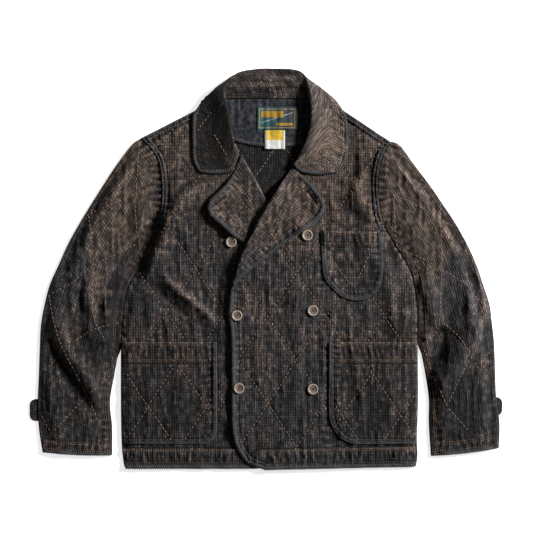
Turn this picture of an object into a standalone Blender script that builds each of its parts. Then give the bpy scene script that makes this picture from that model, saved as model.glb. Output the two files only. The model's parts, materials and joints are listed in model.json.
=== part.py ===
"""A patched, overdyed sashiko work jacket, double-breasted, laid flat on its back with the front up.

Metres, +Z up, X to the wearer's left, Y from hem to neck. The back panel lies flat on the
surface, every other piece lies on the one below it, and one fold field lifts them all alike, so
that no two walls cross. Plan points are in millimetres about the middle of the laid garment.
"""

import math

import bmesh
import bpy
import numpy as np

MM = 0.001
CLOTH = 2.5
GAP = 0.3
LAYER = CLOTH + GAP
FACING_CLOTH = 1.5
LABEL_CLOTH = 1.0

# The middle of the whole outline, which becomes the origin.
MIDDLE_X = 0.0
MIDDLE_Y = 1.8

# The floor of the neck is lifted here, where the collar's fall lies under the back.
NECK_LIFT = LAYER
NECK_LIFT_FROM = 250.0
NECK_LIFT_TO = 296.0

# Air between back and front, and how it dies away at the closed side seams and the open hem.
BODY_AIR = 4.0
SIDE_FADE = 26.0
HEM_FADE = 40.0
HEM_AIR = 0.3
COLLAR_FADE = 34.0

# How far past a lower piece the piece above it stays lifted, and where it comes down again.
COVER_HOLD = 30.0
COVER_FADE = 62.0

# Spacing of the body's points across and along, finer over the chest than over the pockets.
COLUMN = 19.0
CHEST_ROW = 19.0
HIP_ROW = 27.0
HIP_LINE = -125.0

BUTTON_RADIUS = 10.0
BUTTON_HEIGHT = 3.6

ARMHOLE_RIGHT = [(-238, 251), (-213, 222), (-201, 188), (-199, 129), (-209, 82)]
SIDE_RIGHT = [(-209, 82), (-236, 15), (-262, -28), (-272, -76), (-276, -125), (-277, -200),
              (-276, -314), (-272, -365), (-268, -378)]
ARMHOLE_LEFT = [(236, 245), (218, 207), (213, 158), (217, 110), (224, 87)]
SIDE_LEFT = [(224, 87), (249, 42), (276, -4), (287, -63), (289, -139), (290, -200),
             (290, -256), (288, -323), (289, -353), (286, -374)]
SHOULDER_RIGHT = [(-238, 251), (-127, 307)]
SHOULDER_LEFT = [(236, 245), (142, 307)]
SHOULDER_UNDER_COLLAR_RIGHT = [(-127, 307), (-112, 305), (-101, 308)]
SHOULDER_UNDER_COLLAR_LEFT = [(142, 307), (127, 305), (116, 308)]
BACK_NECK = [(-101, 308), (-90, 320), (-72, 325), (87, 325), (105, 320), (116, 308)]
NECK_RIGHT = [(-101, 308), (-95, 285), (-82, 247), (-68, 227), (-51, 222)]
NECK_LEFT = [(116, 308), (110, 285), (97, 247), (82, 222), (68, 203), (51, 197)]

UNDER_ROLL = [(-51, 222), (-36, 196), (-18, 166), (-6, 141), (27, 86), (92, -27)]
UNDER_HIDDEN_EDGE = [(92, -27), (98, -60), (99, -180), (98, -320), (92, -356), (76, -377)]
OVER_ROLL = [(51, 197), (23, 152), (-4, 108), (-24, 70), (-48, 21), (-60, -14), (-67, -40)]
OVER_EDGE = [(-67, -40), (-70, -82), (-66, -125), (-65, -188), (-65, -251), (-64, -298),
             (-56, -336), (-37, -366), (-2, -380)]
HEM_OVER = [(-2, -380), (95, -378), (286, -374)]
HEM_UNDER = [(76, -377), (-37, -378), (-268, -378)]
HEM_BACK = [(-268, -377), (0, -378), (286, -373)]

UNDER_LAPEL_EDGE = [(-62, 183), (-80, 158), (-104, 135), (-111, 120), (-106, 104), (-87, 87),
                    (-65, 67), (-44, 53), (-8, 27), (46, -4), (88, -29)]
UNDER_LAPEL_ROLL = [(-49, 219), (-36, 194), (-18, 164), (-6, 139), (27, 84), (88, -29)]
OVER_LAPEL_EDGE = [(65, 183), (87, 161), (106, 137), (112, 120), (104, 103), (87, 86),
                   (40, 55), (0, 24), (-48, -14), (-60, -31)]
OVER_LAPEL_ROLL = [(51, 195), (23, 150), (-4, 106), (-24, 68), (-47, 20), (-60, -31)]

FACING_LOWER = [(-67, 249), (-42, 241), (-6, 236), (38, 236), (66, 240), (83, 247)]
FACING_RIGHT_SIDE = [(-67, 249), (-80, 285), (-86, 304), (-80, 319)]
FACING_LEFT_SIDE = [(83, 247), (95, 285), (99, 306), (90, 321)]
FACING_UPPER = [(90, 321), (82, 324.6), (-70, 324.6), (-80, 319)]
LABEL_BOX = (-17, 266.5, 59, 310)
TAG_BOX = (-3, 230, 36, 265.8)

CHEST_POCKET = [(104, 74), (107, 0), (120, -30), (142, -50), (167, -58), (194, -54), (214, -36),
                (221, -10), (221, 72)]
HIP_POCKET_RIGHT_INNER = [(-93, -137), (-93, -299), (-97, -317), (-107, -327), (-123, -331)]
HIP_POCKET_LEFT_INNER = [(119, -137), (119, -266), (123, -292), (135, -313), (152, -326), (173, -331)]

# Where the buttons lie, and which front each one lies on.
UNDER_BUTTONS = [(-66, 53)]
OVER_BUTTONS = [(78.5, 66), (-55, -86), (89, -77), (-51, -224), (89, -226)]

# The largest folds: points along the crest or the trough, height, and the widths of its two sides.
FOLDS = [
    ([(-150, 190), (-178, 130), (-204, 78), (-222, 30), (-240, -20)], 9.0, 30, 13),
    ([(-196, 128), (-212, 74), (-250, 12), (-268, -30)], -4.0, 16, 16),
    ([(-212, 10), (-170, -36), (-112, -84), (-98, -120)], 6.5, 12, 24),
    ([(-230, -60), (-180, -84), (-140, -112)], 3.0, 22, 22),
    ([(-120, 80), (-160, 40), (-190, -20)], 3.5, 30, 30),
    ([(-232, -190), (-200, -240), (-190, -300)], 2.5, 30, 30),
    ([(-80, -20), (-78, -120), (-80, -230), (-76, -330)], 4.0, 16, 10),
    ([(-20, -30), (-40, -110), (-20, -200), (-44, -290)], 3.0, 30, 26),
    ([(40, 20), (60, -60), (30, -160), (60, -260), (40, -330)], 3.0, 34, 34),
    ([(205, 190), (196, 150), (200, 100)], -3.5, 12, 12),
    ([(186, 205), (172, 160), (176, 105)], 4.5, 16, 12),
    ([(150, 60), (168, 0), (160, -40)], 3.5, 18, 18),
    ([(196, 70), (202, 10), (190, -40)], 5.5, 11, 15),
    ([(225, 30), (238, -50), (250, -120)], 4.0, 20, 16),
    ([(272, -60), (262, -112), (236, -132)], 4.0, 14, 14),
    ([(140, -160), (200, -200), (262, -290)], 3.0, 34, 30),
    ([(128, -220), (150, -290), (170, -350)], 3.5, 18, 18),
    ([(-255, 215), (-300, 120), (-345, 20), (-372, -50)], 7.0, 34, 26),
    ([(-330, 10), (-338, -50), (-322, -110), (-296, -170)], 15.0, 18, 26),
    ([(-345, 5), (-352, -60), (-334, -104)], -5.0, 12, 12),
    ([(-290, 20), (-300, -50), (-296, -110), (-284, -160)], 6.0, 15, 18),
    ([(-398, -60), (-388, -120), (-356, -176), (-322, -232), (-300, -290)], 12.0, 20, 24),
    ([(-414, -90), (-404, -150), (-372, -206), (-330, -262), (-300, -300)], -4.5, 13, 13),
    ([(-418, -180), (-412, -250), (-384, -310), (-366, -335)], 5.0, 20, 24),
    ([(-218, 200), (-232, 150), (-236, 100), (-252, 40)], 4.0, 14, 14),
    ([(236, 205), (262, 130), (300, 60), (340, -10)], 7.0, 16, 22),
    ([(240, 160), (270, 90), (300, 20), (322, -50)], 6.0, 14, 18),
    ([(262, 225), (310, 150), (352, 70), (380, 0)], 7.0, 22, 30),
    ([(300, 10), (316, -70), (330, -120)], 5.0, 16, 16),
    ([(376, 10), (396, -60), (392, -120), (372, -164), (346, -210), (328, -256)], 15.0, 22, 26),
    ([(404, -50), (412, -100)], -4.0, 12, 12),
    ([(338, -100), (322, -140), (330, -186)], -3.5, 14, 14),
    ([(300, -100), (306, -170), (318, -220), (314, -270), (318, -320)], 7.0, 16, 18),
    ([(420, -140), (410, -220), (398, -300)], 5.0, 22, 26),
    ([(366, -230), (356, -280), (352, -322)], 4.0, 18, 18),
]

# Each sleeve's outer edge and its inner edge at the same places down the arm, armhole to cuff.
SLEEVE_RIGHT_OUTER = [(-196, 271), (-228, 256), (-256, 238), (-285, 200), (-310, 162), (-334, 124),
                      (-357, 86), (-378, 48), (-395, 10), (-412, -28), (-422, -66), (-429, -104),
                      (-431, -142), (-433, -200), (-435, -250), (-433, -300), (-426, -347)]
SLEEVE_RIGHT_INNER = [(-150, 190), (-165, 150), (-180, 118), (-205, 92), (-212, 80), (-222, 56),
                      (-234, 24), (-248, -2), (-261, -24), (-269, -48), (-274, -74), (-277.6, -104),
                      (-279, -140), (-288, -195), (-297, -250), (-293, -300), (-293, -353)]
SLEEVE_LEFT_OUTER = [(202, 264), (228, 251), (255, 238), (283, 200), (312, 162), (338, 124),
                     (363, 86), (384, 48), (401, 10), (414, -28), (426, -66), (431, -104),
                     (435, -142), (437, -200), (439, -245), (445, -290), (444, -339)]
SLEEVE_LEFT_INNER = [(160, 190), (175, 150), (190, 120), (212, 100), (226, 86), (238, 66),
                     (252, 40), (266, 16), (280, -8), (286, -36), (289.5, -66), (291, -104),
                     (293, -142), (303, -196), (310, -245), (310, -292), (314, -354)]
SLEEVE_RINGS = 28
SLEEVE_TOP_POINTS = 11
SLEEVE_UNDER_POINTS = 5
SLEEVE_FADE = 30.0
SEAM = 0.4
CUFF_TAB_RIGHT = [(-435.5, -247), (-445, -250), (-450, -259), (-450, -275), (-445, -284), (-435.5, -287)]
CUFF_TAB_LEFT = [(441.5, -243), (447, -246), (450, -253), (450, -268), (447, -274), (444, -277)]

# The collar, one ribbon from front to back to front. Each row crosses it: neck seam, stand, roll,
# three places down the fall, and its outer edge, as X, Y and the height of the middle of the wall.
COLLAR_RIGHT_ROWS = [
    [(-64, 230, 7.2), (-57, 229, 7.3), (-50.5, 224.5, 9.8), (-56.5, 204, 9.0), (-66, 185.5, 7.9),
     (-99, 182.5, 7.6), (-127, 187, 7.4)],
    [(-79, 247, 6.5), (-70, 245, 7.0), (-60, 240, 11.0), (-78, 228, 11.0), (-95, 217, 9.2),
     (-114, 213, 8.2), (-138, 209, 7.5)],
    [(-92, 280, 8.2), (-80, 277, 8.6), (-66.5, 271, 12.8), (-85, 267, 12.8), (-102, 261, 11.0),
     (-120, 255, 9.2), (-139, 243, 7.8)],
    [(-98, 303, 9.2), (-86, 303, 10.0), (-71, 300, 14.5), (-91, 298, 14.3), (-108, 294, 12.4),
     (-124, 289, 11.2), (-138, 277, 10.2)],
    [(-96.5, 314.5, 8.6), (-89, 317, 11.0), (-77, 322, 16.5), (-98, 321, 16.0), (-113, 314.5, 14.0),
     (-125, 307, 12.4), (-134.5, 297, 12.0)],
    [(-88, 323, 7.6), (-84, 330, 11.0), (-79, 343, 17.0), (-96, 342, 15.8), (-108, 334.5, 12.5),
     (-117, 325.5, 6.8), (-121, 315.5, 3.9)],
    [(-71, 326.7, 7.0), (-71, 342, 12.0), (-70, 362, 12.5), (-82, 354, 6.8), (-88, 343, 3.4),
     (-92, 330, 1.8), (-92, 313, 1.2)],
    [(-49, 326.7, 6.9), (-48, 349, 10.0), (-45, 377.3, 7.4), (-50, 361, 2.9), (-52, 350, 1.8),
     (-53, 335, 1.4), (-53, 312, 1.2)],
]
COLLAR_CENTRE_ROW = [(7.6, 326.7, 6.9), (7.6, 352, 9.5), (7.6, 382.35, 6.4), (7.6, 363, 2.4),
                     (7.6, 350, 1.6), (7.6, 335, 1.4), (7.6, 312, 1.2)]
COLLAR_LEFT_ROWS = [
    [(63, 326.7, 6.9), (62, 349, 10.0), (60.5, 378.8, 7.4), (63.5, 361, 2.9), (65, 350, 1.8),
     (65, 335, 1.4), (65, 312, 1.2)],
    [(87, 326.7, 7.0), (84, 342, 12.0), (76, 363, 12.5), (91, 355, 6.8), (99, 345, 3.4),
     (104, 331, 1.8), (105, 313, 1.2)],
    [(103, 323, 7.6), (96, 330, 11.0), (80.5, 345, 17.0), (98, 346, 15.8), (114, 338, 12.5),
     (127, 327, 6.8), (133, 317, 4.0)],
    [(111.5, 314.5, 8.6), (102, 317, 11.0), (84, 323, 16.5), (104, 323, 16.0), (121, 317, 14.0),
     (136, 308.5, 12.4), (147, 297, 12.0)],
    [(113, 303, 9.2), (101, 303, 10.0), (86, 299, 14.5), (106, 298, 14.3), (123, 295, 12.4),
     (139, 290, 11.2), (152, 278, 10.4)],
    [(107, 280, 8.2), (95, 276, 8.6), (83, 269, 12.8), (101, 266, 12.8), (120, 261, 11.0),
     (137, 255, 9.2), (155, 245, 7.8)],
    [(93.5, 244, 6.5), (82, 236, 7.0), (66.5, 225, 11.0), (85, 219, 11.0), (104, 213, 9.2),
     (128, 211, 8.2), (153, 214, 7.5)],
    [(69, 205.5, 7.2), (60, 202, 7.3), (52, 199, 9.8), (59, 192, 9.0), (68, 186, 7.9),
     (101, 182, 7.6), (136, 187, 7.4)],
]
COLLAR_ZONE = [(-140, 325), (-142, 183), (-118, 176), (-62, 178), (60, 178), (130, 176),
               (158, 190), (156, 325)]
COLLAR_STEPS_ALONG = 2
COLLAR_STEPS_ACROSS = [1, 2, 1, 1, 2, 1, 1, 2]
ROLL_RADIUS = 2.6


def smooth_line(points, spacing=11.0):
    """Points along a smooth curve through hand-placed ones, about this far apart."""
    placed = np.array(points, float)
    if len(placed) == 2:
        count = max(1, round(math.dist(*placed) / spacing / 3))
        return [tuple(placed[0] + (placed[1] - placed[0]) * i / count) for i in range(count + 1)]
    padded = np.vstack([2 * placed[0] - placed[1], placed, 2 * placed[-1] - placed[-2]])
    line = []
    for before, start, end, after in zip(padded, padded[1:], padded[2:], padded[3:]):
        count = max(1, round(float(np.linalg.norm(end - start)) / spacing))
        for i in range(count):
            line.append(tuple(spline(before, start, end, after, i / count)))
    return line + [tuple(placed[-1])]


def spline(before, start, end, after, t):
    """A point on the Catmull-Rom curve from start to end."""
    return 0.5 * (2 * start + (end - before) * t
                  + (2 * before - 5 * start + 4 * end - after) * t**2
                  + (3 * start - before - 3 * end + after) * t**3)


def outline_of(*runs):
    """A closed outline made of smooth runs that meet at corners."""
    outline = []
    for run in runs:
        for point in smooth_line(run):
            if not outline or math.dist(point, outline[-1]) > 0.2:
                outline.append(point)
    if math.dist(outline[0], outline[-1]) < 0.2:
        outline.pop()
    return outline


def smoothstep(value, low, high):
    """0 up to low, 1 from high on, and a soft slope between."""
    t = np.clip((value - low) / (high - low), 0.0, 1.0)
    return t * t * (3 - 2 * t)


def line_distance(x, y, points):
    """Distance to a line, how far along it the nearest place is from 0 to 1, and which side it is on."""
    line = np.array(points, float)
    lengths = np.linalg.norm(np.diff(line, axis=0), axis=1)
    starts = np.concatenate([[0.0], np.cumsum(lengths)])
    best = np.full(np.shape(x), 1e9)
    along = np.zeros(np.shape(x))
    side = np.ones(np.shape(x))
    for start, end, length, done in zip(line, line[1:], lengths, starts):
        step = (end - start) / length
        reach = np.clip((x - start[0]) * step[0] + (y - start[1]) * step[1], 0.0, length)
        away_x = x - start[0] - reach * step[0]
        away_y = y - start[1] - reach * step[1]
        distance = np.hypot(away_x, away_y)
        nearer = distance < best
        best = np.where(nearer, distance, best)
        along = np.where(nearer, (done + reach) / starts[-1], along)
        side = np.where(nearer, np.sign(step[0] * away_y - step[1] * away_x), side)
    return best, along, side


def inside(x, y, outline):
    """True where a point lies inside a closed outline."""
    crossed = np.zeros(np.shape(x), bool)
    for (x0, y0), (x1, y1) in zip(outline, outline[1:] + outline[:1]):
        spans = (y0 > y) != (y1 > y)
        rise = y1 - y0 if y1 != y0 else 1e-9
        crossed ^= spans & (x < (x1 - x0) * (y - y0) / rise + x0)
    return crossed


def outside_distance(x, y, outline):
    """Distance to a closed outline from outside it, and 0 inside."""
    distance = line_distance(x, y, outline + outline[:1])[0]
    return np.where(inside(x, y, outline), 0.0, distance)


def fold_field(x, y):
    """The folds alone: soft ridges and troughs, each dying away at its ends."""
    height = np.zeros(np.shape(x))
    for points, rise, left_width, right_width in FOLDS:
        distance, along, side = line_distance(x, y, smooth_line(points, 22.0))
        width = np.where(side > 0, left_width, right_width)
        ends = smoothstep(np.minimum(along, 1 - along), -0.02, 0.28)
        height += rise * ends * np.exp(-(distance / width) ** 2)
    return height


def neck_lift(y):
    """How far the neck is raised over the collar's fall."""
    return NECK_LIFT * smoothstep(y, NECK_LIFT_FROM, NECK_LIFT_TO)


def body_air(x, y):
    """Height of the air and folds between the back and whatever lies over it, on the body."""
    open_folds = np.maximum(BODY_AIR + fold_field(x, y), 0.6)
    sides = np.minimum(line_distance(x, y, SIDE_RIGHT)[0], line_distance(x, y, SIDE_LEFT)[0])
    hem = line_distance(x, y, HEM_BACK)[0]
    at_hem = HEM_AIR + (1 - HEM_AIR) * smoothstep(hem, 0.0, HEM_FADE)
    near_collar = smoothstep(outside_distance(x, y, COLLAR_ZONE), 2.0, COLLAR_FADE)
    shoulders = np.minimum(line_distance(x, y, SHOULDER_RIGHT)[0], line_distance(x, y, SHOULDER_LEFT)[0])
    at_shoulder = smoothstep(shoulders, 0.0, SIDE_FADE)
    return open_folds * smoothstep(sides, 0.0, SIDE_FADE) * at_hem * near_collar * at_shoulder


def covers(x, y, outline):
    """1 over a lower piece and a little past it, falling softly to 0."""
    return 1 - smoothstep(outside_distance(x, y, outline), COVER_HOLD, COVER_FADE)


def back_floor(x, y):
    return neck_lift(y)


def facing_floor(x, y):
    return neck_lift(y) + LAYER


def label_floor(x, y):
    return facing_floor(x, y) + FACING_CLOTH + GAP


def under_floor(x, y):
    return neck_lift(y) + body_air(x, y) + LAYER


def over_floor(x, y):
    hidden = covers(x, y, UNDER_FRONT) + covers(x, y, UNDER_LAPEL)
    return under_floor(x, y) + LAYER * hidden


def on(floor):
    """The floor of a piece that lies on the piece with this floor."""
    return lambda x, y: floor(x, y) + LAYER


UNDER_FRONT = outline_of(ARMHOLE_RIGHT, SIDE_RIGHT, HEM_UNDER[::-1], UNDER_HIDDEN_EDGE[::-1],
                         UNDER_ROLL[::-1], NECK_RIGHT[::-1], SHOULDER_UNDER_COLLAR_RIGHT[::-1],
                         SHOULDER_RIGHT[::-1])
OVER_FRONT = outline_of(ARMHOLE_LEFT, SIDE_LEFT, HEM_OVER[::-1], OVER_EDGE[::-1], OVER_ROLL[::-1],
                        NECK_LEFT[::-1], SHOULDER_UNDER_COLLAR_LEFT[::-1], SHOULDER_LEFT[::-1])
UNDER_LAPEL = outline_of(UNDER_LAPEL_ROLL, UNDER_LAPEL_EDGE[::-1])
OVER_LAPEL = outline_of(OVER_LAPEL_ROLL, OVER_LAPEL_EDGE[::-1])
BACK = outline_of(ARMHOLE_RIGHT, SIDE_RIGHT, HEM_BACK, SIDE_LEFT[::-1], ARMHOLE_LEFT[::-1],
                  SHOULDER_LEFT, SHOULDER_UNDER_COLLAR_LEFT, BACK_NECK[::-1],
                  SHOULDER_UNDER_COLLAR_RIGHT[::-1], SHOULDER_RIGHT[::-1])
FACING = outline_of(FACING_LOWER, FACING_LEFT_SIDE, FACING_UPPER, FACING_RIGHT_SIDE[::-1])
POCKET_CHEST = outline_of(CHEST_POCKET, [(221, 72), (104, 74)])
POCKET_RIGHT = outline_of(HIP_POCKET_RIGHT_INNER, [(-123, -331), (-275, -331)],
                          [(-275, -331), (-276.5, -200), (-275.5, -137)], [(-275.5, -137), (-93, -137)])
POCKET_LEFT = outline_of(HIP_POCKET_LEFT_INNER, [(173, -331), (287, -331)],
                         [(287, -331), (289.5, -256), (288.5, -137)], [(288.5, -137), (119, -137)])


def armhole_cutter(armhole, towards_sleeve, corner, shoulder):
    """The body's side of an armhole seam, held off by the seam's gap."""
    seam = [(x + towards_sleeve * SEAM, y) for x, y in armhole]
    below = (seam[-1][0] - towards_sleeve * 14, seam[-1][1] - 18)
    above = (seam[0][0] + towards_sleeve * 1, seam[0][1] + 40)
    return outline_of([above, seam[0]], seam, [seam[-1], below], [below, corner], [corner, shoulder])


def grid_lines(low, high, spacing):
    count = math.ceil((high - low) / spacing)
    return [low + (high - low) * i / count for i in range(count + 1)]


BODY_COLUMNS = grid_lines(-300.0, 312.0, COLUMN)
BODY_ROWS = grid_lines(-395.0, HIP_LINE, HIP_ROW)[:-1] + grid_lines(HIP_LINE, 345.0, CHEST_ROW)
BACK_COLUMNS = [-300.0, 0.0, 312.0]
BACK_ROWS = [-395.0] + grid_lines(NECK_LIFT_FROM, NECK_LIFT_TO, 6.0) + [345.0]


def material(name, colour, roughness, metallic=0.0):
    """A plain finish of one colour."""
    made = bpy.data.materials.new(name)
    made.use_nodes = True
    shader = made.node_tree.nodes["Principled BSDF"]
    shader.inputs["Base Color"].default_value = (*colour, 1.0)
    shader.inputs["Roughness"].default_value = roughness
    shader.inputs["Metallic"].default_value = metallic
    made.diffuse_color = (*colour, 1.0)
    return made


def placed(x, y, z):
    """A point in metres about the origin, from millimetres about the garment's middle."""
    return ((x - MIDDLE_X) * MM, (y - MIDDLE_Y) * MM, z * MM)


def object_of(name, mesh_builder, finish):
    """An object with one material from a finished bmesh."""
    mesh = bpy.data.meshes.new(name)
    mesh_builder.to_mesh(mesh)
    mesh_builder.free()
    made = bpy.data.objects.new(name, mesh)
    bpy.context.scene.collection.objects.link(made)
    if finish:
        mesh.materials.append(finish)
    return made


def prism(name, outline, low=-30.0, high=90.0):
    """A hidden cutter: a closed outline carried straight up."""
    builder = bmesh.new()
    corners = [builder.verts.new(placed(x, y, low)) for x, y in outline]
    face = builder.faces.new(corners)
    raised = bmesh.ops.extrude_face_region(builder, geom=[face])["geom"]
    tops = [item for item in raised if isinstance(item, bmesh.types.BMVert)]
    bmesh.ops.translate(builder, vec=(0, 0, (high - low) * MM), verts=tops)
    bmesh.ops.recalc_face_normals(builder, faces=builder.faces)
    cutter = object_of(name, builder, None)
    cutter.hide_render = True
    cutter.display_type = "WIRE"
    return cutter


def shell_between(under, over):
    """A closed wall between two grids of points with the same rows and columns."""
    builder = bmesh.new()
    rows, columns = len(under), len(under[0])
    low = [[builder.verts.new(point) for point in row] for row in under]
    high = [[builder.verts.new(point) for point in row] for row in over]
    for i in range(rows - 1):
        for j in range(columns - 1):
            add_quad(builder, high[i][j], high[i][j + 1], high[i + 1][j + 1], high[i + 1][j])
            add_quad(builder, low[i + 1][j], low[i + 1][j + 1], low[i][j + 1], low[i][j], turned=True)
    border = [(0, j) for j in range(columns)]
    border += [(i, columns - 1) for i in range(1, rows)]
    border += [(rows - 1, j) for j in range(columns - 2, -1, -1)]
    border += [(i, 0) for i in range(rows - 2, 0, -1)]
    for (i, j), (k, m) in zip(border, border[1:] + border[:1]):
        builder.faces.new([low[i][j], low[k][m], high[k][m], high[i][j]])
    return builder


def add_quad(builder, a, b, c, d, turned=False):
    """Two triangles across the same diagonal on every sheet, so that stacked sheets match."""
    if turned:
        builder.faces.new([a, b, d])
        builder.faces.new([b, c, d])
    else:
        builder.faces.new([a, b, c])
        builder.faces.new([a, c, d])


def flat_piece(name, outline, floor, thickness, finish, columns=None, rows=None):
    """A piece of cloth over its floor, cut to its outline."""
    columns = columns or BODY_COLUMNS
    rows = rows or BODY_ROWS
    xs = [x for x, _ in outline]
    ys = [y for _, y in outline]
    columns = kept_lines(columns, min(xs), max(xs))
    rows = kept_lines(rows, min(ys), max(ys))
    x, y = np.meshgrid(columns, rows)
    z = floor(x, y)
    under = [[placed(x[i][j], y[i][j], z[i][j]) for j in range(len(columns))] for i in range(len(rows))]
    over = [[(px, py, pz + thickness * MM) for px, py, pz in row] for row in under]
    piece = object_of(name, shell_between(under, over), finish)
    cut = piece.modifiers.new("cut to outline", "BOOLEAN")
    cut.operation = "INTERSECT"
    cut.object = prism(name + "_outline", outline)
    return piece


def kept_lines(lines, low, high):
    """The grid lines that a piece needs: those inside its reach and one past each end."""
    first = max([i for i, value in enumerate(lines) if value < low - 0.5])
    last = min([i for i, value in enumerate(lines) if value > high + 0.5])
    return lines[first:last + 1]


def sleeve_wall(outer, inner, is_skin):
    """The rings of a sleeve's outside or of its hollow, as points in millimetres."""
    width = np.linalg.norm(inner - outer, axis=1, keepdims=True)
    across = (inner - outer) / width
    flat = 2 * CLOTH + GAP
    if is_skin:
        edge, corner, low, high, start = 0.0, 0.78, 0.78, flat - 0.78, flat / 2
    else:
        edge, corner, low, high, start = CLOTH + 0.2, CLOTH + 1.0, CLOTH, CLOTH + GAP, CLOTH + 2.5
    floor, ceiling = (0.0, flat) if is_skin else (CLOTH, CLOTH + GAP)
    top = start + (width - 2 * start) * np.linspace(0.0, 1.0, SLEEVE_TOP_POINTS)
    under = start + (width - 2 * start) * np.linspace(1.0, 0.0, SLEEVE_UNDER_POINTS)
    near_side = np.ones_like(width) * [corner, edge, corner]
    reach = np.concatenate([near_side, top, width - near_side, under], axis=1)
    x = outer[:, :1] + across[:, :1] * reach
    y = outer[:, 1:] + across[:, 1:] * reach
    air = np.maximum(BODY_AIR + fold_field(x, y), 0.6)
    air *= smoothstep(np.minimum(reach, width - reach), 2.0, SLEEVE_FADE)
    side_heights = np.ones_like(width) * [low, flat / 2, high]
    z = np.concatenate([side_heights, np.full_like(top, ceiling), side_heights[:, ::-1],
                        np.full_like(under, floor)], axis=1)
    z[:, 3:3 + SLEEVE_TOP_POINTS] += air[:, 3:3 + SLEEVE_TOP_POINTS]
    return np.stack([x, y, z], axis=2)


def sleeve(name, outer_points, inner_points, armhole_cutter, finish):
    """A flattened tube from armhole to cuff, open at both ends, cut off along the armhole seam."""
    outer = np.array(resampled(outer_points, SLEEVE_RINGS))
    inner = np.array(resampled(inner_points, SLEEVE_RINGS))
    builder = bmesh.new()
    skin, hollow = ([[builder.verts.new(placed(*point)) for point in ring]
                     for ring in sleeve_wall(outer, inner, is_skin)] for is_skin in (True, False))
    around = len(skin[0])
    for i in range(SLEEVE_RINGS - 1):
        for j in range(around):
            k = (j + 1) % around
            builder.faces.new([skin[i][j], skin[i][k], skin[i + 1][k], skin[i + 1][j]])
            builder.faces.new([hollow[i + 1][j], hollow[i + 1][k], hollow[i][k], hollow[i][j]])
    for end, turned in ((0, False), (-1, True)):
        for j in range(around):
            k = (j + 1) % around
            quad = [skin[end][j], hollow[end][j], hollow[end][k], skin[end][k]]
            builder.faces.new(quad[::-1] if turned else quad)
    bmesh.ops.triangulate(builder, faces=builder.faces)
    bmesh.ops.recalc_face_normals(builder, faces=builder.faces)
    piece = object_of(name, builder, finish)
    cut = piece.modifiers.new("armhole", "BOOLEAN")
    cut.operation = "DIFFERENCE"
    cut.object = prism(name + "_armhole", armhole_cutter)
    shade(piece)
    return piece


def resampled(points, count):
    """This many points along a smooth curve through matched places, keeping the places matched."""
    placed_points = np.array(points, float)
    padded = np.vstack([2 * placed_points[0] - placed_points[1], placed_points,
                        2 * placed_points[-1] - placed_points[-2]])
    found = []
    for i in range(count):
        at = i / (count - 1) * (len(placed_points) - 1)
        k = min(int(at), len(placed_points) - 2)
        found.append(spline(*padded[k:k + 4], at - k))
    return found


def collar(finish):
    """The collar as one folded ribbon: stand inside, roll, and fall outside."""
    placed_rows = np.array(COLLAR_RIGHT_ROWS + [COLLAR_CENTRE_ROW] + COLLAR_LEFT_ROWS, float)
    roll_line = directions(placed_rows[:, 2:3], 0)[:, 0]
    rows = np.array([with_rolled_nose(row, line) for row, line in zip(placed_rows, roll_line)])
    along = refine(rows, [COLLAR_STEPS_ALONG] * (len(rows) - 1))
    grid = np.swapaxes(refine(np.swapaxes(along, 0, 1), COLLAR_STEPS_ACROSS), 0, 1)
    normals = np.cross(directions(grid, 1), directions(grid, 0))
    normals /= np.linalg.norm(normals, axis=2, keepdims=True)
    half = normals * CLOTH / 2
    sheets = []
    for side in (grid - half, grid + half):
        side[..., 2] = np.maximum(side[..., 2], 0.0)
        sheets.append([[placed(*point) for point in row] for row in side])
    builder = shell_between(*sheets)
    bmesh.ops.recalc_face_normals(builder, faces=builder.faces)
    piece = object_of("collar", builder, finish)
    shade(piece)
    return piece


def with_rolled_nose(row, roll_line):
    """A row with a rounded fold, square to the roll line, in place of its single point there."""
    seam, stand, roll, fall = row[:4]
    to_stand = square_to(stand - roll, roll_line)
    to_fall = square_to(fall - roll, roll_line)
    inwards = unit(to_stand + to_fall)
    across = unit(to_fall - to_stand)
    before = roll + ROLL_RADIUS * (inwards - across)
    after = roll + ROLL_RADIUS * (inwards + across)
    return np.concatenate([[seam, stand, before, roll, after], row[3:]])


def unit(vector):
    return vector / np.linalg.norm(vector)


def square_to(vector, line):
    """The unit direction of a vector with its share along a line taken out."""
    return unit(vector - line * float(vector @ line))


def directions(grid, axis):
    """Unit directions along one axis of a grid of points, the mean of the steps on either side."""
    steps = np.diff(grid, axis=axis)
    steps /= np.linalg.norm(steps, axis=2, keepdims=True)
    first = np.take(steps, [0], axis=axis)
    last = np.take(steps, [-1], axis=axis)
    mean = np.concatenate([first, steps], axis=axis) + np.concatenate([steps, last], axis=axis)
    return mean / np.linalg.norm(mean, axis=2, keepdims=True)


def refine(rows, steps):
    """Rows on a smooth surface through hand-placed rows, with so many steps between each two."""
    padded = np.concatenate([[2 * rows[0] - rows[1]], rows, [2 * rows[-1] - rows[-2]]])
    found = []
    for k, count in enumerate(steps):
        for i in range(count):
            found.append(spline(*padded[k:k + 4], i / count))
    return np.array(found + [rows[-1]])


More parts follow.
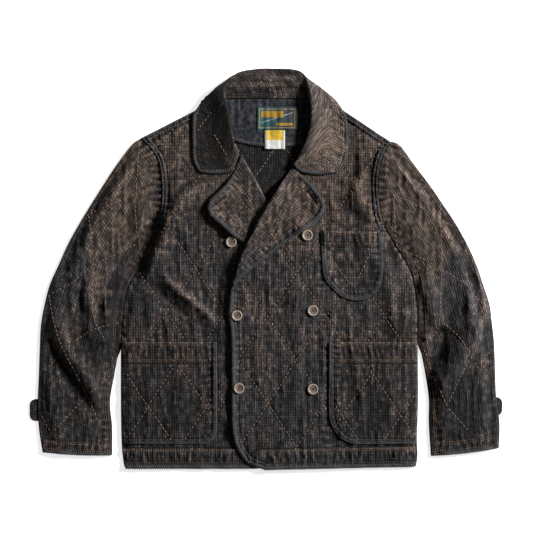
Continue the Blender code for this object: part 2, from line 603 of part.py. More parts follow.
def button(name, x, y, floor, finish):
    """A dished button with a raised rim, turned about its own middle, resting on the front."""
    reach = np.linspace(-BUTTON_RADIUS, BUTTON_RADIUS, 5)
    seat = float(np.max(floor(*np.meshgrid(x + reach, y + reach)))) + CLOTH + GAP
    profile = [(0.0, 0.0), (BUTTON_RADIUS - 1.4, 0.0), (BUTTON_RADIUS, 1.2), (BUTTON_RADIUS - 0.5, 3.0),
               (BUTTON_RADIUS - 1.6, BUTTON_HEIGHT), (BUTTON_RADIUS - 3.2, 2.6), (0.0, 2.4)]
    builder = bmesh.new()
    points = [builder.verts.new(((x - MIDDLE_X + r) * MM, (y - MIDDLE_Y) * MM, (seat + z) * MM))
              for r, z in profile]
    for a, b in zip(points, points[1:]):
        builder.edges.new((a, b))
    bmesh.ops.spin(builder, geom=builder.verts[:] + builder.edges[:], cent=placed(x, y, 0.0),
                   axis=(0, 0, 1), angle=2 * math.pi, steps=18, use_merge=True)
    bmesh.ops.remove_doubles(builder, verts=builder.verts, dist=1e-6)
    bmesh.ops.recalc_face_normals(builder, faces=builder.faces)
    piece = object_of(name, builder, finish)
    shade(piece, 35)
    return piece


def plate(name, outline, low, thickness, finish):
    """A small flat piece of one thickness."""
    builder = bmesh.new()
    corners = [builder.verts.new(placed(x, y, low)) for x, y in outline]
    face = builder.faces.new(corners)
    raised = bmesh.ops.extrude_face_region(builder, geom=[face])["geom"]
    tops = [item for item in raised if isinstance(item, bmesh.types.BMVert)]
    bmesh.ops.translate(builder, vec=(0, 0, thickness * MM), verts=tops)
    bmesh.ops.recalc_face_normals(builder, faces=builder.faces)
    return object_of(name, builder, finish)


def box_outline(box):
    left, low, right, high = box
    return [(left, low), (right, low), (right, high), (left, high)]


def shade(piece, angle=50):
    """Smooth shading with its sharp edges kept."""
    piece.data.shade_smooth()
    piece.data.set_sharp_from_angle(angle=math.radians(angle))


def clear_scene():
    for item in list(bpy.data.objects):
        bpy.data.objects.remove(item, do_unlink=True)


def main():
    clear_scene()
    cloth = material("overdyed_sashiko", (0.045, 0.040, 0.038), 0.92)
    inside_cloth = material("neck_facing_cloth", (0.020, 0.023, 0.030), 0.92)
    shell = material("button_horn", (0.20, 0.15, 0.11), 0.45)
    woven = material("woven_label", (0.06, 0.13, 0.14), 0.80)
    tape = material("white_tape", (0.70, 0.70, 0.68), 0.85)

    flat_piece("back_panel", BACK, back_floor, CLOTH, cloth, BACK_COLUMNS, BACK_ROWS)
    flat_piece("back_neck_facing", FACING, facing_floor, FACING_CLOTH, inside_cloth,
               BACK_COLUMNS, BACK_ROWS)
    flat_piece("neck_label", box_outline(LABEL_BOX), label_floor, LABEL_CLOTH, woven,
               BACK_COLUMNS, BACK_ROWS)
    flat_piece("size_tag", box_outline(TAG_BOX), label_floor, LABEL_CLOTH, tape,
               BACK_COLUMNS, BACK_ROWS)
    flat_piece("right_front", UNDER_FRONT, under_floor, CLOTH, cloth)
    flat_piece("right_lapel", UNDER_LAPEL, on(under_floor), CLOTH, cloth)
    flat_piece("left_front", OVER_FRONT, over_floor, CLOTH, cloth)
    flat_piece("left_lapel", OVER_LAPEL, on(over_floor), CLOTH, cloth)
    flat_piece("chest_pocket", POCKET_CHEST, on(over_floor), CLOTH, cloth)
    flat_piece("left_hip_pocket", POCKET_LEFT, on(over_floor), CLOTH, cloth)
    flat_piece("right_hip_pocket", POCKET_RIGHT, on(under_floor), CLOTH, cloth)
    collar(cloth)
    sleeve("right_sleeve", SLEEVE_RIGHT_OUTER, SLEEVE_RIGHT_INNER,
           armhole_cutter(ARMHOLE_RIGHT, -1, (-100, 120), (-110, 300)), cloth)
    sleeve("left_sleeve", SLEEVE_LEFT_OUTER, SLEEVE_LEFT_INNER,
           armhole_cutter(ARMHOLE_LEFT, 1, (110, 120), (120, 300)), cloth)
    plate("right_cuff_tab", CUFF_TAB_RIGHT, 0.0, CLOTH, cloth)
    plate("left_cuff_tab", CUFF_TAB_LEFT, 0.0, CLOTH, cloth)
    for number, (x, y) in enumerate(UNDER_BUTTONS, 1):
        button(f"button_{number}", x, y, under_floor, shell)
    for number, (x, y) in enumerate(OVER_BUTTONS, len(UNDER_BUTTONS) + 1):
        button(f"button_{number}", x, y, over_floor, shell)


main()
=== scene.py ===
"""The looks of an overdyed sashiko work jacket, laid flat on its back with the front up.

Each sheet of cloth is a fine thin shell on the form of its solid: the same plan, layers and large
folds, with the smaller creases, the crinkle of washed cloth, the grooves of the quilting and the
puckers of the seams added. Sewing, overcast edges, buttons and labels lie on those shells.
Plan points are in millimetres about the garment's middle, X to the wearer's left and Y from hem
to neck, and meshes are in metres. Left and right are the wearer's.
"""

import json
import logging
import math
from collections.abc import Callable, Iterable, Sequence
from dataclasses import dataclass, field
from enum import Enum

import bmesh
import bpy
import numpy as np
from mathutils import Vector
from mathutils.bvhtree import BVHTree
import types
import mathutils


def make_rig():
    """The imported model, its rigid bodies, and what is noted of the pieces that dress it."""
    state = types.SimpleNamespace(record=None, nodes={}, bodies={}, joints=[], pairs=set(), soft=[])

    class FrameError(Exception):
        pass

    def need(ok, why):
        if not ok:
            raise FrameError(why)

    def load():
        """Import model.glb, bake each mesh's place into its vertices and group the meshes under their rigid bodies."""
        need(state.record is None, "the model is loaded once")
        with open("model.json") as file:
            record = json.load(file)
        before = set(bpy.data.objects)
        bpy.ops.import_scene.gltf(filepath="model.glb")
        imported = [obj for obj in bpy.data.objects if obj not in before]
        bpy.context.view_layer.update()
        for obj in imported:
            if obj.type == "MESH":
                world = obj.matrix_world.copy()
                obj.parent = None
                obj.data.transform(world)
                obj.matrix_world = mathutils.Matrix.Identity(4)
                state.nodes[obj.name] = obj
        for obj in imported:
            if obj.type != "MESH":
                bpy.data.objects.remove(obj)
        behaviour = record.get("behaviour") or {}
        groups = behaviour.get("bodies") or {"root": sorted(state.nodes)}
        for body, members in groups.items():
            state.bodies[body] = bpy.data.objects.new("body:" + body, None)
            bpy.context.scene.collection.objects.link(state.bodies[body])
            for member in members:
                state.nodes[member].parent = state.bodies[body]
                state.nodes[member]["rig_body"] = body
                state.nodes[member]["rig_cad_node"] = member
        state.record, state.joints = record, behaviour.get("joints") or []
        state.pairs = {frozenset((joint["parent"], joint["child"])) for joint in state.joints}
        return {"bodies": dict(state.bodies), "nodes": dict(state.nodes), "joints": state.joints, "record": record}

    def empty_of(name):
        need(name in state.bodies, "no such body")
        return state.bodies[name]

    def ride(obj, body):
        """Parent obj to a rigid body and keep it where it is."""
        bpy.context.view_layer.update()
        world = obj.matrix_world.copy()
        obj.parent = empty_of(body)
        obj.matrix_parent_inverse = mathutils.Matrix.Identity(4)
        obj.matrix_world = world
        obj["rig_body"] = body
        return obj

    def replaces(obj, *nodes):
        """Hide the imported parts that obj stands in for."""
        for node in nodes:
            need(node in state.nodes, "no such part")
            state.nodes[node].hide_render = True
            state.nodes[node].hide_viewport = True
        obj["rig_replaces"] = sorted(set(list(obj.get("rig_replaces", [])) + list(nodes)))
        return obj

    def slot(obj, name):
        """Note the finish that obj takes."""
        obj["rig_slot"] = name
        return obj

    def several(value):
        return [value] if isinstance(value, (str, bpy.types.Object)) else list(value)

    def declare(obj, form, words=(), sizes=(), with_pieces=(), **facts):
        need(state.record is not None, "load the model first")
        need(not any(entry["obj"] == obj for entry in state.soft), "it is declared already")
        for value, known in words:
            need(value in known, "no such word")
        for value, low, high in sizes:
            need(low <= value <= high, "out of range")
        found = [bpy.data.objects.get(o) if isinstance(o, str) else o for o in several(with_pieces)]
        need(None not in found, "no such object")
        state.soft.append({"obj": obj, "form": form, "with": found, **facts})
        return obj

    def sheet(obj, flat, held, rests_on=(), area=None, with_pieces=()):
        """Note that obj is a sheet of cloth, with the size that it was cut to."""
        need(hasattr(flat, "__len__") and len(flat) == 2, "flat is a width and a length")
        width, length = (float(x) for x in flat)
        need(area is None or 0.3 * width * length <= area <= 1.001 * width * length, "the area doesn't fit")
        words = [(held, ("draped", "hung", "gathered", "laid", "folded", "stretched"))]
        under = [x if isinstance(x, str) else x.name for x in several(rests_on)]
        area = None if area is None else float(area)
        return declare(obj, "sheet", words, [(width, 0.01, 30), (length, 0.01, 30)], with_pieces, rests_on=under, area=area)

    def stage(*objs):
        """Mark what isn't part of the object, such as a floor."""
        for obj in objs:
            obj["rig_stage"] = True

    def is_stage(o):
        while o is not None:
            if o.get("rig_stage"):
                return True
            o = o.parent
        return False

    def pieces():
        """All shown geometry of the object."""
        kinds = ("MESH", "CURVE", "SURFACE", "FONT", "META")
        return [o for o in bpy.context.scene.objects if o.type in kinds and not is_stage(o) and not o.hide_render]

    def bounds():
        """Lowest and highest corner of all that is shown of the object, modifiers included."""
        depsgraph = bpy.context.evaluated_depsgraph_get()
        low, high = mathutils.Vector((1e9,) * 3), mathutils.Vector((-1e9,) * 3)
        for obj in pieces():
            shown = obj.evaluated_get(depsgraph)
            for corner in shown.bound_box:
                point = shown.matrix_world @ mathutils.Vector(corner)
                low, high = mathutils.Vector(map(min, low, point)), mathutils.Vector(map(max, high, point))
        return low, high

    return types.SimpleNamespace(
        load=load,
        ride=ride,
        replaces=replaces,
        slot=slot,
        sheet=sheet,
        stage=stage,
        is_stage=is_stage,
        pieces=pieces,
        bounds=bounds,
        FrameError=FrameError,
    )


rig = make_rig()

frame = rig.load()
CAD_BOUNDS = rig.bounds()

log = logging.getLogger("jacket")

Array = np.ndarray
Points = Sequence[tuple[float, float]]
Height = Callable[..., Array]
Colour = tuple[float, float, float]

MM = 0.001
# The plan's Y at the middle of the whole outline, which is the origin.
MIDDLE_Y = 1.8
# The distance given to a place that is out of a line's reach.
FAR = 1e6
# The height in metres that rays look down for the cloth from.
SKY = 0.2
# How many times a surface is smoothed to find what stands out of it, and how what stands out counts as wear and what
# sinks as painted shade.
SHADE_AND_WEAR_TURNS = 6
SHADE_AND_WEAR_RISE = 0.6
SHADE_AND_WEAR_MOST = 1.5


class Kind(Enum):
    """What a test on a mesh picks."""

    EDGE = "EDGE"
    FACE = "FACE"


class Blend(Enum):
    """How a shader lays one colour over another."""

    MIX = "MIX"
    MULTIPLY = "MULTIPLY"


class Finish(Enum):
    """The finishes, each with the name of its material."""

    SASHIKO = "sashiko"
    LINING = "lining"
    HORN = "horn"
    LABEL = "label"
    TAPE = "tape"
    QUILTING = "quilting_thread"
    SEAM = "seam_thread"
    RUST = "rust_thread"
    EDGE = "edge_thread"
    BORDER = "border_thread"


# Walls and layers of the cloth, as in the solids.
CLOTH = 2.5
GAP = 0.3
LAYER = CLOTH + GAP
FACING_CLOTH = 1.5
LABEL_CLOTH = 1.0
NECK_LIFT = LAYER
NECK_LIFT_FROM = 250.0
NECK_LIFT_TO = 296.0
BODY_AIR = 4.0
LEAST_AIR = 0.6
SIDE_FADE = 26.0
HEM_FADE = 40.0
HEM_AIR = 0.3
COLLAR_FADE = 34.0
COVER_HOLD = 30.0
COVER_FADE = 62.0
SLEEVE_FADE = 30.0

# The plan.
ARMHOLE_RIGHT = [(-238, 251), (-213, 222), (-201, 188), (-199, 129), (-209, 82)]
SIDE_RIGHT = [(-209, 82), (-236, 15), (-262, -28), (-272, -76), (-276, -125), (-277, -200),
              (-276, -314), (-272, -365), (-268, -378)]
ARMHOLE_LEFT = [(236, 245), (218, 207), (213, 158), (217, 110), (224, 87)]
SIDE_LEFT = [(224, 87), (249, 42), (276, -4), (287, -63), (289, -139), (290, -200),
             (290, -256), (288, -323), (289, -353), (286, -374)]
SHOULDER_RIGHT = [(-238, 251), (-127, 307)]
SHOULDER_LEFT = [(236, 245), (142, 307)]
SHOULDER_UNDER_COLLAR_RIGHT = [(-127, 307), (-112, 305), (-101, 308)]
SHOULDER_UNDER_COLLAR_LEFT = [(142, 307), (127, 305), (116, 308)]
BACK_NECK = [(-101, 308), (-90, 320), (-72, 325), (87, 325), (105, 320), (116, 308)]
NECK_RIGHT = [(-101, 308), (-95, 285), (-82, 247), (-68, 227), (-51, 222)]
NECK_LEFT = [(116, 308), (110, 285), (97, 247), (82, 222), (68, 203), (51, 197)]
UNDER_ROLL = [(-51, 222), (-36, 196), (-18, 166), (-6, 141), (27, 86), (92, -27)]
UNDER_HIDDEN_EDGE = [(92, -27), (98, -60), (99, -180), (98, -320), (92, -356), (76, -377)]
OVER_ROLL = [(51, 197), (23, 152), (-4, 108), (-24, 70), (-48, 21), (-60, -14), (-67, -40)]
OVER_EDGE = [(-67, -40), (-70, -82), (-66, -125), (-65, -188), (-65, -251), (-64, -298),
             (-56, -336), (-37, -366)]
OVER_CORNER = [(-37, -366), (-2, -380)]
HEM_OVER = [(-2, -380), (95, -378), (286, -374)]
HEM_UNDER = [(-268, -378), (-37, -378), (76, -377)]
HEM_BACK = [(-268, -377), (0, -378), (286, -373)]
UNDER_LAPEL_TIP = [(-62, 183), (-80, 158), (-104, 135), (-111, 120)]
UNDER_LAPEL_FOOT = [(88, -29), (46, -4), (-8, 27), (-44, 53), (-65, 67), (-87, 87), (-106, 104), (-111, 120)]
UNDER_LAPEL_ROLL = [(88, -29), (27, 84), (-6, 139), (-18, 164), (-36, 194), (-49, 219)]
OVER_LAPEL_TIP = [(65, 183), (87, 161), (106, 137), (112, 120)]
OVER_LAPEL_FOOT = [(-60, -31), (-48, -14), (0, 24), (40, 55), (87, 86), (104, 103), (112, 120)]
OVER_LAPEL_ROLL = [(-60, -31), (-47, 20), (-24, 68), (-4, 106), (23, 150), (51, 195)]
FACING_LOWER = [(-67, 249), (-42, 241), (-6, 236), (38, 236), (66, 240), (83, 247)]
FACING_RIGHT_SIDE = [(-67, 249), (-80, 285), (-86, 304), (-80, 319)]
FACING_LEFT_SIDE = [(83, 247), (95, 285), (99, 306), (90, 321)]
FACING_UPPER = [(-80, 319), (-70, 324.6), (82, 324.6), (90, 321)]
LABEL_BOX = (-17, 266.5, 59, 310)
TAG_BOX = (-3, 230, 36, 265.8)
COLLAR_ZONE = [(-140, 325), (-142, 183), (-118, 176), (-62, 178), (60, 178), (130, 176),
               (158, 190), (156, 325)]
UNDER_BUTTONS = [(-66, 53)]
OVER_BUTTONS = [(78.5, 66), (-55, -86), (89, -77), (-51, -224), (89, -226)]

# The largest folds, as in the solids: line, height, and the widths of its two sides.
FOLDS = [
    ([(-150, 190), (-178, 130), (-204, 78), (-222, 30), (-240, -20)], 9.0, 30, 13),
    ([(-196, 128), (-212, 74), (-250, 12), (-268, -30)], -4.0, 16, 16),
    ([(-212, 10), (-170, -36), (-112, -84), (-98, -120)], 6.5, 12, 24),
    ([(-230, -60), (-180, -84), (-140, -112)], 3.0, 22, 22),
    ([(-120, 80), (-160, 40), (-190, -20)], 3.5, 30, 30),
    ([(-232, -190), (-200, -240), (-190, -300)], 2.5, 30, 30),
    ([(-80, -20), (-78, -120), (-80, -230), (-76, -330)], 4.0, 16, 10),
    ([(-20, -30), (-40, -110), (-20, -200), (-44, -290)], 3.0, 30, 26),
    ([(40, 20), (60, -60), (30, -160), (60, -260), (40, -330)], 3.0, 34, 34),
    ([(205, 190), (196, 150), (200, 100)], -3.5, 12, 12),
    ([(186, 205), (172, 160), (176, 105)], 4.5, 16, 12),
    ([(150, 60), (168, 0), (160, -40)], 3.5, 18, 18),
    ([(196, 70), (202, 10), (190, -40)], 5.5, 11, 15),
    ([(225, 30), (238, -50), (250, -120)], 4.0, 20, 16),
    ([(272, -60), (262, -112), (236, -132)], 4.0, 14, 14),
    ([(140, -160), (200, -200), (262, -290)], 3.0, 34, 30),
    ([(128, -220), (150, -290), (170, -350)], 3.5, 18, 18),
    ([(-255, 215), (-300, 120), (-345, 20), (-372, -50)], 7.0, 34, 26),
    ([(-330, 10), (-338, -50), (-322, -110), (-296, -170)], 15.0, 18, 26),
    ([(-345, 5), (-352, -60), (-334, -104)], -5.0, 12, 12),
    ([(-290, 20), (-300, -50), (-296, -110), (-284, -160)], 6.0, 15, 18),
    ([(-398, -60), (-388, -120), (-356, -176), (-322, -232), (-300, -290)], 12.0, 20, 24),
    ([(-414, -90), (-404, -150), (-372, -206), (-330, -262), (-300, -300)], -4.5, 13, 13),
    ([(-418, -180), (-412, -250), (-384, -310), (-366, -335)], 5.0, 20, 24),
    ([(-218, 200), (-232, 150), (-236, 100), (-252, 40)], 4.0, 14, 14),
    ([(236, 205), (262, 130), (300, 60), (340, -10)], 7.0, 16, 22),
    ([(240, 160), (270, 90), (300, 20), (322, -50)], 6.0, 14, 18),
    ([(262, 225), (310, 150), (352, 70), (380, 0)], 7.0, 22, 30),
    ([(300, 10), (316, -70), (330, -120)], 5.0, 16, 16),
    ([(376, 10), (396, -60), (392, -120), (372, -164), (346, -210), (328, -256)], 15.0, 22, 26),
    ([(404, -50), (412, -100)], -4.0, 12, 12),
    ([(338, -100), (322, -140), (330, -186)], -3.5, 14, 14),
    ([(300, -100), (306, -170), (318, -220), (314, -270), (318, -320)], 7.0, 16, 18),
    ([(420, -140), (410, -220), (398, -300)], 5.0, 22, 26),
    ([(366, -230), (356, -280), (352, -322)], 4.0, 18, 18),
]

# Smaller creases that the solids leave out: line, height, widths of its sides.
CREASES = [
    ([(-104, 172), (-150, 138), (-182, 98), (-204, 52), (-226, 8), (-240, -30)], 8.5, 26, 11),
    ([(-122, 184), (-168, 148), (-200, 106), (-220, 60)], -3.0, 8, 9),
    ([(-206, 6), (-172, -34), (-130, -66), (-100, -92), (-92, -128)], 4.5, 16, 9),
    ([(-222, -20), (-180, -60), (-136, -96)], -2.0, 9, 9),
    ([(240, 160), (270, 90), (300, 20), (322, -50)], -5.5, 15, 20),
    ([(236, 205), (262, 130), (300, 60), (340, -10)], -4.5, 16, 24),
    ([(262, 225), (310, 150), (352, 70), (380, 0)], -5.0, 22, 30),
    ([(262, 30), (284, -10), (296, -60)], 3.0, 9, 12),
    ([(-330, 10), (-338, -50), (-322, -110), (-296, -170)], -4.5, 20, 26),
    ([(392, 28), (407, -20), (416, -62), (420, -112)], 5.0, 9, 6),
    ([(378, 20), (393, -30), (400, -75), (396, -112)], -4.5, 8, 9),
    ([(336, -100), (322, -160), (306, -206)], -6.5, 15, 12),
    ([(404, 20), (412, -40), (404, -110), (376, -170)], 3.0, 12, 8),
    ([(446, -20), (452, -90), (446, -170)], -4.0, 12, 12),
    ([(60, 40), (56, -60), (66, -160), (58, -260)], 2.4, 22, 10),
    ([(-12, -60), (-16, -160), (-6, -260)], 2.0, 16, 9),
    ([(-150, -190), (-158, -250), (-150, -310)], 2.2, 14, 8),
    ([(-216, -190), (-222, -250), (-212, -310)], 2.2, 14, 8),
    ([(176, -190), (182, -250), (172, -310)], 2.2, 14, 8),
    ([(232, -176), (240, -240), (232, -306)], 2.6, 15, 8),
    ([(-360, -60), (-366, -120), (-346, -180)], -2.5, 11, 11),
    ([(-300, -30), (-304, -80), (-290, -122)], 3.5, 9, 10),
    ([(-150, 250), (-170, 214), (-188, 176)], 2.0, 10, 8),
    ([(-124, 236), (-138, 196), (-142, 158)], 1.6, 9, 10),
    ([(-205, 60), (-166, 52), (-128, 60)], 1.3, 5, 6),
    ([(-212, 44), (-172, 38), (-136, 46)], -1.0, 5, 5),
    ([(-170, 104), (-150, 62), (-140, 20)], 1.5, 9, 9),
    ([(-128, -20), (-112, -52), (-98, -70)], -1.8, 7, 8),
    ([(-226, -16), (-216, -60), (-222, -112)], 1.7, 9, 9),
    ([(-142, -66), (-132, -100), (-136, -134)], 1.4, 8, 8),
    ([(-182, -84), (-176, -108), (-184, -134)], 1.3, 7, 8),
    ([(-92, 20), (-86, -40), (-92, -104)], -1.8, 8, 8),
    ([(-250, -60), (-240, -96), (-246, -130)], 1.6, 8, 8),
    ([(-104, -150), (-98, -210), (-104, -290)], 1.2, 7, 6),
    ([(-42, -30), (-30, -90), (-38, -150)], 1.6, 8, 8),
    ([(8, -4), (18, -60), (8, -124)], 1.2, 9, 9),
    ([(-48, -240), (-40, -290), (-30, -340)], 1.6, 8, 8),
    ([(104, -70), (110, -150), (106, -250), (112, -340)], 1.8, 6, 7),
    ([(122, -60), (130, -96), (124, -132)], 1.9, 7, 9),
    ([(152, -66), (160, -100), (156, -134)], 1.6, 8, 8),
    ([(192, -62), (198, -100), (192, -132)], 1.9, 8, 8),
    ([(232, -10), (240, -60), (246, -124)], 2.2, 9, 9),
    ([(130, 250), (150, 214), (150, 176)], 2.2, 10, 10),
    ([(170, 238), (184, 204), (180, 166)], 2.0, 8, 10),
    ([(148, 178), (164, 148), (160, 104)], -1.7, 8, 8),
    ([(120, 150), (132, 110), (128, 80)], 1.5, 8, 8),
    ([(232, 150), (226, 110), (232, 70)], 1.6, 7, 7),
    ([(-240, 216), (-274, 166), (-300, 120)], 1.9, 8, 8),
    ([(-222, 180), (-240, 136), (-262, 90)], -1.7, 7, 8),
    ([(-214, 142), (-228, 110), (-242, 70)], 1.7, 7, 7),
    ([(-320, 92), (-346, 40), (-362, -12)], 1.5, 9, 9),
    ([(-380, 20), (-396, -30), (-404, -80)], 1.6, 9, 9),
    ([(-262, 20), (-276, -20), (-282, -64)], 1.8, 6, 7),
    ([(-360, -40), (-368, -90), (-352, -140)], 1.8, 9, 9),
    ([(-310, -170), (-300, -220), (-304, -280)], 1.8, 8, 8),
    ([(-350, -250), (-338, -290), (-330, -330)], 1.6, 9, 8),
    ([(-400, -260), (-394, -300), (-398, -336)], 1.4, 8, 8),
    ([(-420, -120), (-424, -180), (-422, -240)], 1.5, 8, 8),
    ([(246, 222), (286, 170), (318, 120)], 1.9, 8, 8),
    ([(232, 182), (258, 134), (284, 88)], -1.6, 7, 8),
    ([(330, 90), (356, 40), (372, -10)], 1.6, 9, 9),
    ([(276, 40), (294, -10), (300, -60)], 1.7, 7, 7),
    ([(350, -30), (362, -80), (356, -126)], 1.8, 9, 9),
    ([(420, -60), (426, -110), (424, -170)], 1.6, 8, 8),
    ([(330, -200), (340, -240), (336, -290)], 1.8, 8, 8),
    ([(380, -200), (376, -250), (384, -310)], 1.7, 9, 9),
    ([(410, -260), (404, -300), (410, -334)], 1.4, 8, 8),
    ([(238, 232), (264, 200), (292, 162)], -2.2, 4, 6),
    ([(244, 208), (268, 176), (296, 136)], 2.2, 5, 6),
    ([(232, 196), (254, 166), (282, 128)], -1.9, 4, 6),
    ([(296, 176), (322, 140), (344, 100)], 2.0, 6, 6),
    ([(204, 232), (200, 190), (208, 140)], -3.0, 8, 8),
    ([(144, 190), (178, 148), (214, 102)], 2.5, 10, 13),
    ([(128, 146), (160, 112), (200, 88)], -2.5, 8, 8),
    ([(170, 78), (166, 46), (172, 10)], -2.2, 7, 6),
    ([(196, 30), (202, -4), (196, -40)], -2.4, 8, 7),
    ([(-228, 84), (-254, 44), (-282, 6), (-297, -30), (-300, -70)], -4.0, 8, 7),
    ([(70, 160), (86, 140), (102, 118)], -1.8, 3, 3),
    ([(-106, 118), (-90, 130), (-74, 142)], -1.5, 3, 3),
    ([(-66, 120), (-52, 96), (-44, 74)], 1.4, 4, 4),
    ([(40, 132), (30, 98), (18, 66)], 1.3, 5, 5),
    ([(262, -20), (258, -80), (256, -134)], -2.6, 9, 9),
    ([(236, 66), (240, 30), (246, -6)], -2.4, 7, 7),
    ([(254, 60), (262, 20), (270, -14)], 1.8, 6, 6),
]

SLEEVE_RIGHT_OUTER = [(-238, 251), (-256, 238), (-285, 200), (-310, 162), (-334, 124),
                      (-357, 86), (-378, 48), (-395, 10), (-412, -28), (-422, -66), (-429, -104),
                      (-431, -142), (-433, -200), (-435, -250), (-433, -300), (-426, -347)]
SLEEVE_RIGHT_INNER = [(-209, 82), (-222, 56), (-234, 24), (-248, -2), (-261, -24), (-269, -48),
                      (-274, -74), (-277.6, -104), (-279, -140), (-288, -195), (-297, -250),
                      (-293, -300), (-293, -353)]
SLEEVE_LEFT_OUTER = [(236, 245), (255, 238), (283, 200), (312, 162), (338, 124),
                     (363, 86), (384, 48), (401, 10), (414, -28), (426, -66), (431, -104),
                     (435, -142), (437, -200), (439, -245), (445, -290), (444, -339)]
SLEEVE_LEFT_INNER = [(224, 87), (238, 66), (252, 40), (266, 16), (280, -8), (286, -36),
                     (289.5, -66), (291, -104), (293, -142), (303, -196), (310, -245),
                     (310, -292), (314, -354)]
CUFF_TAB_RIGHT = [(-430, -246), (-445, -249), (-450.5, -259), (-450.5, -275), (-445, -285), (-430, -288)]
CUFF_TAB_LEFT = [(436, -242), (447, -245), (450.5, -253), (450.5, -268), (447, -275), (438, -278)]

# The collar, one ribbon from front to back to front. Each row crosses it: neck seam, stand, roll,
# three places down the fall, and its outer edge, as X, Y and the height of the middle of the wall.
COLLAR_RIGHT_ROWS = [
    [(-64, 230, 7.2), (-57, 229, 7.3), (-50.5, 224.5, 9.8), (-56.5, 204, 9.0), (-66, 185.5, 7.9),
     (-99, 182.5, 7.6), (-127, 187, 7.4)],
    [(-79, 247, 6.5), (-70, 245, 7.0), (-60, 240, 11.0), (-78, 228, 11.0), (-95, 217, 9.2),
     (-114, 213, 8.2), (-138, 209, 7.5)],
    [(-92, 280, 8.2), (-80, 277, 8.6), (-66.5, 271, 12.8), (-85, 267, 12.8), (-102, 261, 11.0),
     (-120, 255, 9.2), (-139, 243, 7.8)],
    [(-98, 303, 9.2), (-86, 303, 10.0), (-71, 300, 14.5), (-91, 298, 14.3), (-108, 294, 12.4),
     (-124, 289, 11.2), (-138, 277, 10.2)],
    [(-96.5, 314.5, 8.6), (-89, 317, 11.0), (-77, 322, 16.5), (-98, 321, 16.0), (-113, 314.5, 14.0),
     (-125, 307, 12.4), (-134.5, 297, 12.0)],
    [(-88, 323, 7.6), (-84, 330, 11.0), (-79, 343, 17.0), (-96, 342, 15.8), (-108, 334.5, 12.5),
     (-117, 325.5, 6.8), (-121, 315.5, 3.9)],
    [(-71, 326.7, 7.0), (-71, 342, 12.0), (-70, 362, 12.5), (-82, 354, 6.8), (-88, 343, 3.4),
     (-92, 330, 1.8), (-92, 313, 1.2)],
    [(-49, 326.7, 6.9), (-48, 349, 10.0), (-45, 377.3, 7.4), (-50, 361, 2.9), (-52, 350, 1.8),
     (-53, 335, 1.4), (-53, 312, 1.2)],
]
COLLAR_CENTRE_ROW = [(7.6, 326.7, 6.9), (7.6, 352, 9.5), (7.6, 382.35, 6.4), (7.6, 363, 2.4),
                     (7.6, 350, 1.6), (7.6, 335, 1.4), (7.6, 312, 1.2)]
COLLAR_LEFT_ROWS = [
    [(63, 326.7, 6.9), (62, 349, 10.0), (60.5, 378.8, 7.4), (63.5, 361, 2.9), (65, 350, 1.8),
     (65, 335, 1.4), (65, 312, 1.2)],
    [(87, 326.7, 7.0), (84, 342, 12.0), (76, 363, 12.5), (91, 355, 6.8), (99, 345, 3.4),
     (104, 331, 1.8), (105, 313, 1.2)],
    [(103, 323, 7.6), (96, 330, 11.0), (80.5, 345, 17.0), (98, 346, 15.8), (114, 338, 12.5),
     (127, 327, 6.8), (133, 317, 4.0)],
    [(111.5, 314.5, 8.6), (102, 317, 11.0), (84, 323, 16.5), (104, 323, 16.0), (121, 317, 14.0),
     (136, 308.5, 12.4), (147, 297, 12.0)],
    [(113, 303, 9.2), (101, 303, 10.0), (86, 299, 14.5), (106, 298, 14.3), (123, 295, 12.4),
     (139, 290, 11.2), (152, 278, 10.4)],
    [(107, 280, 8.2), (95, 276, 8.6), (83, 269, 12.8), (101, 266, 12.8), (120, 261, 11.0),
     (137, 255, 9.2), (155, 245, 7.8)],
    [(93.5, 244, 6.5), (82, 236, 7.0), (66.5, 225, 11.0), (85, 219, 11.0), (104, 213, 9.2),
     (128, 211, 8.2), (153, 214, 7.5)],
    [(69, 205.5, 7.2), (60, 202, 7.3), (52, 199, 9.8), (59, 192, 9.0), (68, 186, 7.9),
     (101, 182, 7.6), (136, 187, 7.4)],
]


def spline(before: Array, start: Array, end: Array, after: Array, t: Array | float) -> Array:
    """A place on the Catmull-Rom curve from start to end.

    Args:
        before: the point before the stretch.
        start: the point where the stretch starts.
        end: the point where it ends.
        after: the point after it.
        t: how far along the stretch, 0 to 1.

    Returns:
        The point there.
    """
    return 0.5 * (2 * start + (end - before) * t
                  + (2 * before - 5 * start + 4 * end - after) * t**2
                  + (3 * start - before - 3 * end + after) * t**3)


def smooth_line(points: Points, spacing: float = 4.0) -> Array:
    """A smooth line through given points.

    Args:
        points: two or more places.
        spacing: how far apart the line's own points are.

    Returns:
        The line's points, one a row.
    """
    placed = np.array(points, float)
    padded = np.vstack([2 * placed[0] - placed[1], placed, 2 * placed[-1] - placed[-2]])
    line = []
    for k in range(len(placed) - 1):
        count = max(1, round(float(np.linalg.norm(placed[k + 1] - placed[k])) / spacing))
        line += [spline(*padded[k:k + 4], i / count) for i in range(count)]
    return np.array(line + [placed[-1]])


def joined(*runs: Points) -> Array:
    """Smooth runs end to end, meeting at corners, as one line."""
    lines = [smooth_line(run) for run in runs]
    return np.concatenate([lines[0]] + [line[1:] for line in lines[1:]])


def walk(line: Array, shares: Array) -> Array:
    """The points at these shares of a line's length."""
    lengths = np.concatenate([[0.0], np.cumsum(np.linalg.norm(np.diff(line, axis=0), axis=1))])
    reach = shares * lengths[-1]
    return np.stack([np.interp(reach, lengths, line[:, k]) for k in range(line.shape[1])], axis=1)


def length_of(line: Array) -> float:
    """A line's length."""
    return float(np.linalg.norm(np.diff(line, axis=0), axis=1).sum())


# How far from a piece's edge the first few rows of its mesh lie, fine enough for its borders.
EDGE_ROWS = (0.6, 1.5, 2.6, 3.8, 5.0, 6.2, 7.4, 8.6, 9.8, 11.0, 12.4)


